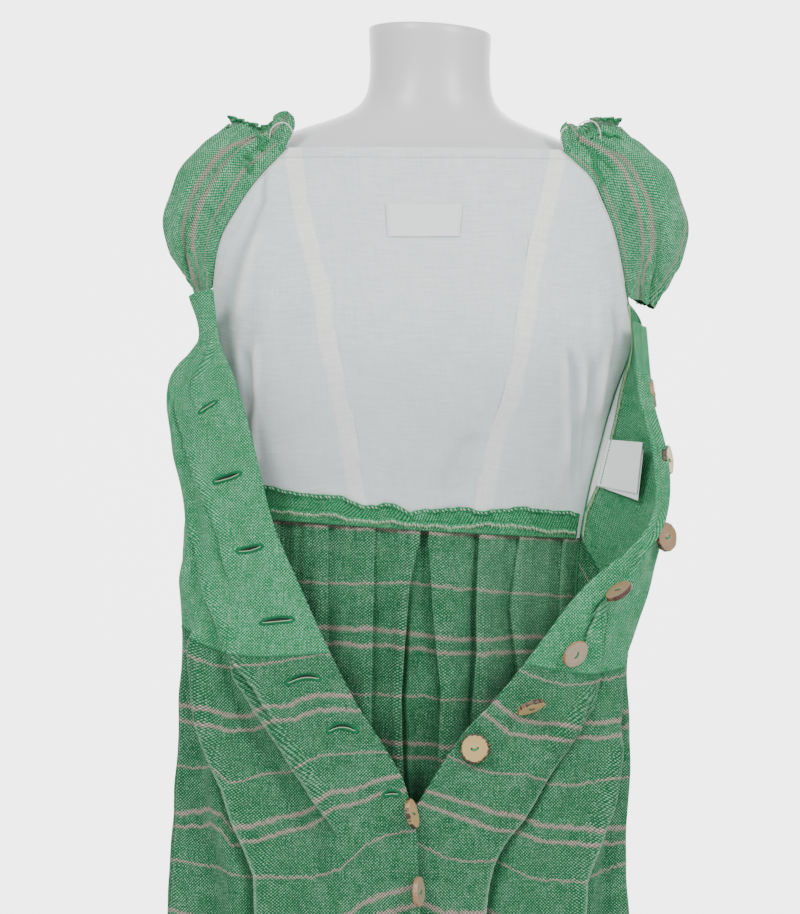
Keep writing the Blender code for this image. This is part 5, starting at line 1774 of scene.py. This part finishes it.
# %% Elastic and armhole threads
# name, piece it lies by, path in mm
LOOPS = {
    "elastic_loop_left": [(-145, -84, 1410), (-143, -92, 1416), (-137, -96, 1420.5), (-130, -96, 1421),
                          (-125, -93, 1416), (-124, -89, 1409), (-128, -86, 1404)],
    "elastic_loop_right": [(131, -84, 1417), (134, -92, 1421.5), (141, -95, 1423.5), (147, -94, 1421),
                           (151, -91, 1415), (152, -86, 1408)],
    "elastic_end_right": [(117.5, -84, 1403), (116, -89, 1409), (117.5, -92, 1415), (122, -90, 1419)],
}
for name, points in LOOPS.items():
    yarns(name, [smooth_path(points)], 0.55 * MM, CREAM_THREAD)
for side in ("left", "right"):
    edge = 0.004 if side == "left" else 0.996
    line = back_grid(np.array([edge]), np.linspace(-0.99, 0.0, 160))[:, 0]
    line[:, 1] -= 1.9 * MM
    yarns(f"armhole_edge_{side}", [line], 0.75 * MM, CREAM_THREAD)
    tail = np.array([sleeve_row(side, np.array([0.1 + 0.25 * max(0.0, 0.13 - v)]), v)[0]
                     for v in np.linspace(0.02, 0.26, 60)])
    tail[:, 1] -= 2.0 * MM
    tail[:, 2] += 0.3 * MM
    inwards = np.array([(0.9 if side == "left" else -0.9, 0.1, -0.3)] * len(tail))
    out = np.array([(0, -1.0, 0.1)] * len(tail))
    yarns(f"armhole_overlock_{side}", overlock(tail, inwards, out, 4.0 * MM, 1.6 * MM, 30), 0.5 * MM,
          BRIGHT_THREAD, 4)

# %% [markdown]
# ## Neck label
# The label is a woven ribbon with turned ends, stitched to the lining along both of them. It is left blank.

# %% Label
LABEL_ACROSS = (12 / 27, 15 / 27)
LABEL_TOP, LABEL_LOW = -0.6, -0.365
across = np.linspace(*LABEL_ACROSS, 60)
grid = lift(back_grid(across, np.linspace(LABEL_TOP, LABEL_LOW, 30)), -2.3 * MM)
uv = lengths(grid)
wide, tall = uv[..., 0].max(), uv[..., 1].max()
grid[..., 1] -= rumple(uv, 0.03, 50) * 0.15 * MM
keep_cloth("neck_label_ribbon", grid, uv, LABEL_RIBBON, ["neck_label"],
           0.6 * MM)
for end, column in (("left", 2), ("right", -3)):
    line = grid[:, column] + [0, -0.45 * MM, 0]
    yarns(f"label_stitches_{end}", stitch_paths(line, 2.0 * MM, 1.0 * MM), 0.22 * MM, CREAM_THREAD)
print("label:", round(wide / MM), "x", round(tall / MM), "mm")

# %% [markdown]
# ## Care tags
# Two ribbons hang from the right side seam, caught in it along one edge. They are blank too. Each is a sheet
# between four corners, bowed by half a sine wave, and the front one lifts at its free upper corner.

# %% Care tags
TAG_CORNERS = [(161, -56.7, 1139), (189, -86.3, 1136), (184, -88.3, 1090), (150, -58.9, 1097)]
TAG_STEP = 1.5
SECOND_TAG_DROP = 6
for index, name in enumerate(("care_tag_front", "care_tag_rear")):
    corners = np.array(TAG_CORNERS, float)
    a, v = np.meshgrid(np.linspace(0, 1, 40), np.linspace(0, 1, 50))
    top = corners[0] + (corners[1] - corners[0]) * a[..., None]
    low = corners[3] + (corners[2] - corners[3]) * a[..., None]
    grid = top + (low - top) * v[..., None]
    grid[..., 1] += 2 * np.sin(math.pi * a) - index * a * 0.5
    grid[..., 2] -= index * SECOND_TAG_DROP * a
    grid[..., 1] -= ease((a - 0.55) / 0.4) * ease((0.35 - v) / 0.4) * 3.0 * (1 - index)
    grid = lift(grid * MM, (index * TAG_STEP + 0.5) * MM)
    uv = lengths(grid)
    keep_cloth(f"{name}_ribbon", grid, uv, LABEL_RIBBON, [name],
               0.35 * MM)
    if index == 0:
        hem = grid[:, 3] + [0.2 * MM, -0.7 * MM, 0]
        yarns("care_tag_stitches", stitch_paths(hem, 2.6 * MM, 0.5 * MM), 0.4 * MM, GREEN_THREAD)

# %% [markdown]
# ## Horn buttons
# Each button is a slice of antler, so no two outlines are alike: the rim is bark, rough and dark, and the
# face is bone. A turned profile gets a wavy radius, from slow waves for the antler's shape and fast ones for
# its bark, and two holes are cut through it. Its UV map holds its own x and y, for the material above.

# %% Slices
BUTTON_RADIUS = 13.5
BUTTON_HALF = 2.2
HOLE_OFFSET = 2.6
HOLE_RADIUS = 1.1
# share of the radius, share of half the thickness
BUTTON_PROFILE = [
    (0.25, 0.8), (0.55, 0.88), (0.8, 0.97), (0.92, 1.0), (0.975, 0.86), (1.0, 0.5), (1.0, 0.0),
    (1.0, -0.5), (0.975, -0.86), (0.92, -1.0), (0.55, -1.0), (0.25, -1.0),
]


def button_solid(seed, ragged):
    """Points in mm and faces of one horn slice, lying in its own plane."""
    draw = np.random.default_rng(seed)
    sides = 96
    angle = np.linspace(0, math.tau, sides, endpoint=False)
    shape = sum(draw.uniform(0.1, 0.5) * np.sin(k * angle + draw.uniform(0, 6)) / k**0.4 for k in (2, 3, 5, 7))
    bark = sum(draw.uniform(0.4, 1.0) * np.sin(k * angle + draw.uniform(0, 6)) for k in (11, 16, 21, 27)) * ragged
    rings = []
    for share, side in BUTTON_PROFILE:
        rim = ease((share - 0.8) / 0.2)
        radius = (BUTTON_RADIUS - 0.8) * share + shape * share + bark * rim
        height = np.full(sides, side * BUTTON_HALF) + draw.uniform(-0.12, 0.12, sides) * rim
        rings.append(np.stack([radius * np.cos(angle), radius * np.sin(angle), height], -1))
    rings.append(np.array([[0, 0, 0.75 * BUTTON_HALF], [0, 0, -BUTTON_HALF]]))
    faces = [list(f) for f in grid_faces(len(BUTTON_PROFILE), sides, closed=True)[:, ::-1]]
    top = len(BUTTON_PROFILE) * sides
    last = top - sides
    for k in range(sides):
        n = (k + 1) % sides
        faces += [[top, k, n], [top + 1, last + n, last + k]]
    return np.concatenate(rings), faces


def holed(made, sides=20):
    """Cut the two thread holes with a boolean."""
    faces = [[k, (k + 1) % sides, sides + (k + 1) % sides, sides + k] for k in range(sides)]
    faces += [list(range(sides))[::-1], [sides + k for k in range(sides)]]
    for x in (-HOLE_OFFSET, HOLE_OFFSET):
        ends = [ring(HOLE_RADIUS, height, sides) + [x, 0, 0] for height in (-5, 5)]
        cutter = make_mesh("hole", np.concatenate(ends) * MM, faces)
        cut = made.modifiers.new("hole", "BOOLEAN")
        cut.operation = "DIFFERENCE"
        cut.solver = "EXACT"
        cut.object = cutter
        depsgraph = bpy.context.evaluated_depsgraph_get()
        drilled = bpy.data.meshes.new_from_object(made.evaluated_get(depsgraph))
        made.modifiers.clear()
        made.data = drilled
        bpy.data.objects.remove(cutter)


def flat_uv(mesh, points):
    """UV equal to each point's x and y before the piece is turned into place."""
    layer = mesh.uv_layers.get("cloth") or mesh.uv_layers.new(name="cloth")
    index = np.empty(len(mesh.loops), int)
    mesh.loops.foreach_get("vertex_index", index)
    layer.data.foreach_set("uv", points[index, :2].astype(np.float32).ravel())


print("a slice is about", 2 * BUTTON_RADIUS, "mm across and", 2 * BUTTON_HALF, "mm thick")

# %% [markdown]
# ## Where each button hangs
# The points of the solid model give each button's centre, and the direction in which they spread least is the
# way it faces. Some open ones hang crooked on their thread, so a table slides and turns them. A slid button
# keeps its distance from the cloth, which is found by comparing depths at both places.

# %% Places of the buttons
def node_pose(name):
    """Centre and facing of a button's solid, from its own points."""
    mesh = frame["nodes"][name].data
    spots = np.empty(len(mesh.vertices) * 3)
    mesh.vertices.foreach_get("co", spots)
    spots = spots.reshape(-1, 3)
    centre = spots.mean(axis=0)
    _, _, axes = np.linalg.svd(spots - centre)
    face = axes[2] * (-1 if axes[2][1] > 0 else 1)
    return centre, face


# number: finish, raggedness, slide across and up in mm, face or None for the solid's own
BUTTON_LOOKS = {
    4: ("brown", 0.12, -9.0, 4.5, (-0.52, -0.3, 0.8)),
    5: ("rose", 0.12, -4.7, 1.4, (0.58, -0.66, -0.47)),
    6: ("orange", 0.15, -4.6, 3.0, (0.33, -0.34, -0.88)),
    7: ("yellow", 0.75, -8.0, 2.8, None),
}
PLAIN_LOOKS = [("orange", 0.15), ("rose", 0.12), ("yellow", 0.25), ("brown", 0.15)]
# how far the line of its two holes is turned, in radians
HOLE_TURNS = {4: 0.3, 5: 1.35, 6: 0.1, 7: 0.15}


def slide_on_front(centre, across, up):
    """Slide a point on the right front, keeping its distance from the cloth."""
    spots = np.concatenate([SURFACES["right", part][2][:, 120:].reshape(-1, 3) for part in ("bodice", "skirt")])
    moved = centre + np.array([across, 0, up]) * MM
    depths = [spots[np.argmin(np.sum((spots[:, ::2] - spot[::2]) ** 2, axis=1)), 1] for spot in (centre, moved)]
    return moved + [0, depths[1] - depths[0], 0]


def button_place(number, slide):
    """Centre of a button, and its three axes: the line of its holes, across it, and the way it faces."""
    centre, face = node_pose(f"button_{number:02d}")
    if slide:
        centre = slide_on_front(centre, slide[0], slide[1])
        if slide[2]:
            face = unit(np.array(slide[2]))
    side = unit(np.cross([0, 0, 1.0], face))
    turn = HOLE_TURNS.get(number, 0.5 * math.sin(number * 2.3))
    across = side * math.cos(turn) + np.cross(face, side) * math.sin(turn)
    return centre, np.stack([across, np.cross(face, across), face])

# %% [markdown]
# ## Sewing the buttons on
# Four strands of green thread go through the two holes and lie side by side on the face. Each is an arc whose
# ends dive into the holes, and it is turned into place with its button.

# %% Buttons
def make_button(number):
    look, ragged, *slide = BUTTON_LOOKS.get(number, PLAIN_LOOKS[number % 4])
    centre, axes = button_place(number, slide)
    points, faces = button_solid(60 + number, ragged)
    made = make_mesh(f"horn_button_{number:02d}", points * MM, faces)
    holed(made)
    spots = np.array([v.co[:] for v in made.data.vertices])
    flat_uv(made.data, spots)
    for vertex, spot in zip(made.data.vertices, spots @ axes + centre):
        vertex.co = spot
    made.data.set_sharp_from_angle(angle=math.radians(50))
    keep(made, HORNS[look], [f"button_{number:02d}"])
    strands = []
    arc = np.linspace(0, math.pi, 14)
    for k in range(4):
        sag = (k - 1.5) * 0.5
        low = np.array([[-HOLE_OFFSET, 0, -1.0], [HOLE_OFFSET, 0, -1.0]])
        path = np.stack([-HOLE_OFFSET * np.cos(arc), -abs(sag) * np.sin(arc) * 1.6 + sag * 0.4,
                         1.9 + 0.6 * np.sin(arc)], -1)
        strands.append((np.concatenate([low[:1], path, low[1:]]) * MM) @ axes + centre)
    yarns(f"button_thread_{number:02d}", strands, 0.34 * MM, BRIGHT_THREAD if number % 2 else GREEN_THREAD)


BUTTON_COUNT = 12
for number in range(1, BUTTON_COUNT + 1):
    make_button(number)
print("buttons:", BUTTON_COUNT)

# %% [markdown]
# ## Buttonholes
# A machine buttonhole is a slit bound all round with dense satin stitch. `on_front` finds the spot above a
# finished panel for any level and place, so a buttonhole needs only its two ends and its middle.

# %% Places of the buttonholes
# level and around of its two ends and its middle, and half its opening in mm
BUTTONHOLES = [
    ((0.3467, 0.618), (0.3333, 0.7), (0.3233, 0.775), 0.45),
    ((0.5333, 0.625), (0.5233, 0.738), (0.5133, 0.845), 1.1),
    ((0.71, 0.713), (0.7067, 0.792), (0.7033, 0.878), 1.1),
    ((0.91, 0.76), (0.9067, 0.838), (0.91, 0.907), 1.1),
    ((1.0387, 0.785), (1.032, 0.86), (1.036, 0.915), 1.0),
    ((1.104, 0.863), (1.0987, 0.915), (1.108, 0.95), 1.0),
    ((1.1973, 0.945), (1.196, 0.963), (1.1987, 0.98), 0.8),
]
SATIN_WIDTH = 2.1 * MM
SATIN_RISE = 0.9 * MM


def on_front(side, level, around, height):
    """A point above a front's outer face, and the outward normal there."""
    rows, columns, grid, normals = SURFACES[side, "bodice" if level < 1 else "skirt"]
    r = min(np.interp(level, rows, np.arange(len(rows))), len(rows) - 1.001)
    c = min(np.interp(around, columns, np.arange(len(columns))), len(columns) - 1.001)
    i, j, f, g = int(r), int(c), r % 1, c % 1
    spot = mix(mix(grid[i, j], grid[i, j + 1], g), mix(grid[i + 1, j], grid[i + 1, j + 1], g), f)
    out = normals[i, j] + normals[i + 1, j + 1]
    out /= np.linalg.norm(out)
    return spot + out * height, out


print(len(BUTTONHOLES), "buttonholes")

# %% [markdown]
# ## Slit, lip and satin stitch
# A parabola through the three places is the slit's middle line. The stitching is a low pad of seven rings
# between a narrow ellipse and a rounded box, raised in the middle, and its material draws single threads
# along it. The slit is a narrow dark lens, for the shadow between the two cut edges, with one yarn as its lip.

# %% Buttonholes
PAD_SIDES = 72
SLIT_MARGIN = 0.4 * MM
SLIT_OPENING = 1.35


def power(values, exponent):
    return np.sign(values) * np.abs(values) ** exponent


def sampled(at, part):
    """Values of a row of points at in-between places."""
    return np.stack([np.interp(at, np.arange(len(part)), part[:, k]) for k in range(3)], -1)


slits, lips, pads, pad_uvs = [], [], [], []
for start, middle, end, gape in BUTTONHOLES:
    line, ways = [], []
    for t in np.linspace(0, 1, 33):
        level, around = ((1 - t) * (1 - 2 * t) * a + 4 * t * (1 - t) * b + t * (2 * t - 1) * c
                         for a, b, c in zip(start, middle, end))
        spot, out = on_front("left", level, around, 0.3 * MM)
        line.append(spot)
        ways.append(out)
    line, ways = np.array(line), np.array(ways)
    ahead = unit(np.gradient(line, axis=0))
    aside = np.cross(ways, ahead)
    run = np.linspace(-1, 1, len(line))[:, None]
    gape *= SLIT_OPENING
    wide = gape * MM * np.sqrt(np.clip(1 - run**2, 0, 1))
    reach = aside * (wide + SLIT_MARGIN)
    slits.append(np.stack([line + reach, line + ways * 0.1 * MM, line - reach]))
    lips.append(line - aside * (wide - 0.2 * MM) * np.sign(aside[:, 2:]) + ways * 0.35 * MM)
    half = np.linalg.norm(line[-1] - line[0]) / 2
    angle = np.linspace(0, math.tau, PAD_SIDES, endpoint=False)
    inner = np.stack([half * np.cos(angle), gape * MM * np.sin(angle)], -1)
    outer = np.stack([(half + SATIN_WIDTH * 1.3) * power(np.cos(angle), 0.55),
                      (gape * MM + SATIN_WIDTH) * power(np.sin(angle), 0.7)], -1)
    perimeter = np.cumsum(np.linalg.norm(np.diff(outer, axis=0, prepend=outer[:1]), axis=1))
    rings, ring_uvs = [], []
    for t in np.linspace(0, 1, 7):
        flat = mix(inner, outer, t)
        at = (np.clip(flat[:, 0] / half, -1, 1) + 1) / 2 * (len(line) - 1)
        here, beside, above, onward = (sampled(at, part) for part in (line, aside, ways, ahead))
        beyond = flat[:, :1] - np.clip(flat[:, :1], -half, half)
        rise = SATIN_RISE * math.sin(math.pi * min(0.06 + 0.9 * t, 1.0)) ** 0.5 - 0.3 * MM * t
        rings.append(here + beside * flat[:, 1:] + onward * beyond + above * rise)
        ring_uvs.append(np.stack([perimeter, np.full(PAD_SIDES, t * SATIN_WIDTH)], -1))
    pads.append(np.array(rings))
    pad_uvs.append(np.array(ring_uvs))


def joined(name, grids, closed, uvs=None):
    """One object from several grids of points."""
    faces, start = [], 0
    for grid in grids:
        faces += [[start + k for k in face] for face in grid_faces(*grid.shape[:2], closed=closed)]
        start += grid.shape[0] * grid.shape[1]
    return make_mesh(name, np.concatenate([grid.reshape(-1, 3) for grid in grids]), faces,
                     None if uvs is None else np.concatenate([uv.reshape(-1, 2) for uv in uvs]))


def make_slit_dark():
    made, tree, shader = new_finish("slit_shadow", 0.95)
    coords = own_space(tree)
    fluff = noise(tree, coords, 1200, 2.0)
    colour = blend(tree, fluff, (0.002, 0.012, 0.006, 1), (0.006, 0.032, 0.016, 1))
    paint(tree, shader, colour)
    return made


keep(joined("buttonhole_satin", pads, True, pad_uvs), SATIN)
keep(joined("buttonhole_slits", slits, False), make_slit_dark())
yarns("buttonhole_lips", lips, 0.42 * MM, SAGE_THREAD, 5)

# %% [markdown]
# ## Seam stitches
# The waist seam and the two side seams are narrow rolls of cloth pulled in by dark green thread. A thin
# tube lies in each of them, so no light comes through where two panels meet.

# %% Stitch rows
def front_line(side, pairs, height):
    return np.array([on_front(side, level, around, height)[0] for level, around in pairs])


for side in ("left", "right"):
    spots = [(0.9999, a) for a in np.linspace(-0.97, 0.995, 180)]
    yarns(f"waist_seam_{side}", [front_line(side, spots, 0.0)], 0.7 * MM, GREEN_THREAD, 5)
    end = 1.0 if side == "right" else 0.0
    seam = back_grid(np.array([end]), np.linspace(0.0, 1.99, 160))[:, 0]
    yarns(f"side_seam_{side}", [seam], 0.8 * MM, GREEN_THREAD, 5)

# %% [markdown]
# ## Floor and light
# A pale round floor, a white surround and three large soft lamps: a key from the upper left, a fill from the
# right, and a weak one from behind that keeps the back readable. The surround is brighter behind the part, so
# the cloth stands out from it, and darker in front, so the folds keep their shadows.

# %% Studio
FLOOR_SIDES = 96
FLOOR_DROP = 0.0005
SURROUND = 0.85
SURROUND_BEHIND = 4.5


def make_floor():
    made, tree, shader = new_finish("floor_pale", 0.75, Specular_IOR_Level=0.2)
    coords = own_space(tree)
    fleck = noise(tree, coords, 40, 3.0)
    paint(tree, shader, blend(tree, fleck, (0.8, 0.8, 0.79, 1), (0.84, 0.84, 0.83, 1)))
    floor = spun("floor", [ring(radius, -FLOOR_DROP, FLOOR_SIDES) for radius in (0.02, 1.2, 2.4)], smooth=False)
    floor.data.materials.append(made)


def lamp(name, place, aim, size, watts):
    data = bpy.data.lights.new(name, "AREA")
    data.shape = "DISK"
    data.size = size
    data.energy = watts
    made = bpy.data.objects.new(name, data)
    way = np.array(aim, float) - np.array(place, float)
    made.location = place
    made.rotation_euler = (math.acos(-way[2] / np.linalg.norm(way)), 0, math.atan2(-way[0], way[1]))
    bpy.context.scene.collection.objects.link(made)
    print(name, "at", place, watts, "W")


def make_surround():
    """A white room, brighter behind the part than in front of it."""
    made = bpy.data.worlds.new("surround")
    made.use_nodes = True
    tree = made.node_tree
    coords = tree.nodes.new("ShaderNodeTexCoord")
    split = tree.nodes.new("ShaderNodeSeparateXYZ")
    tree.links.new(coords.outputs["Generated"], split.inputs[0])
    behind = scaled(tree, split.outputs[1], 1.6, -0.6, clamp=True)
    tree.links.new(scaled(tree, behind, SURROUND_BEHIND - SURROUND, SURROUND),
                   tree.nodes["Background"].inputs[1])
    tree.nodes["Background"].inputs[0].default_value = (1, 1, 1, 1)
    bpy.context.scene.world = made


make_floor()
lamp("key", (-1.6, -2.4, 3.0), (0, 0, 1.0), 1.1, 54)
lamp("fill", (1.9, -2.2, 2.7), (0, 0, 1.0), 1.2, 60)
lamp("back", (0.4, 2.4, 2.4), (0, 0, 1.0), 1.6, 12)
make_surround()
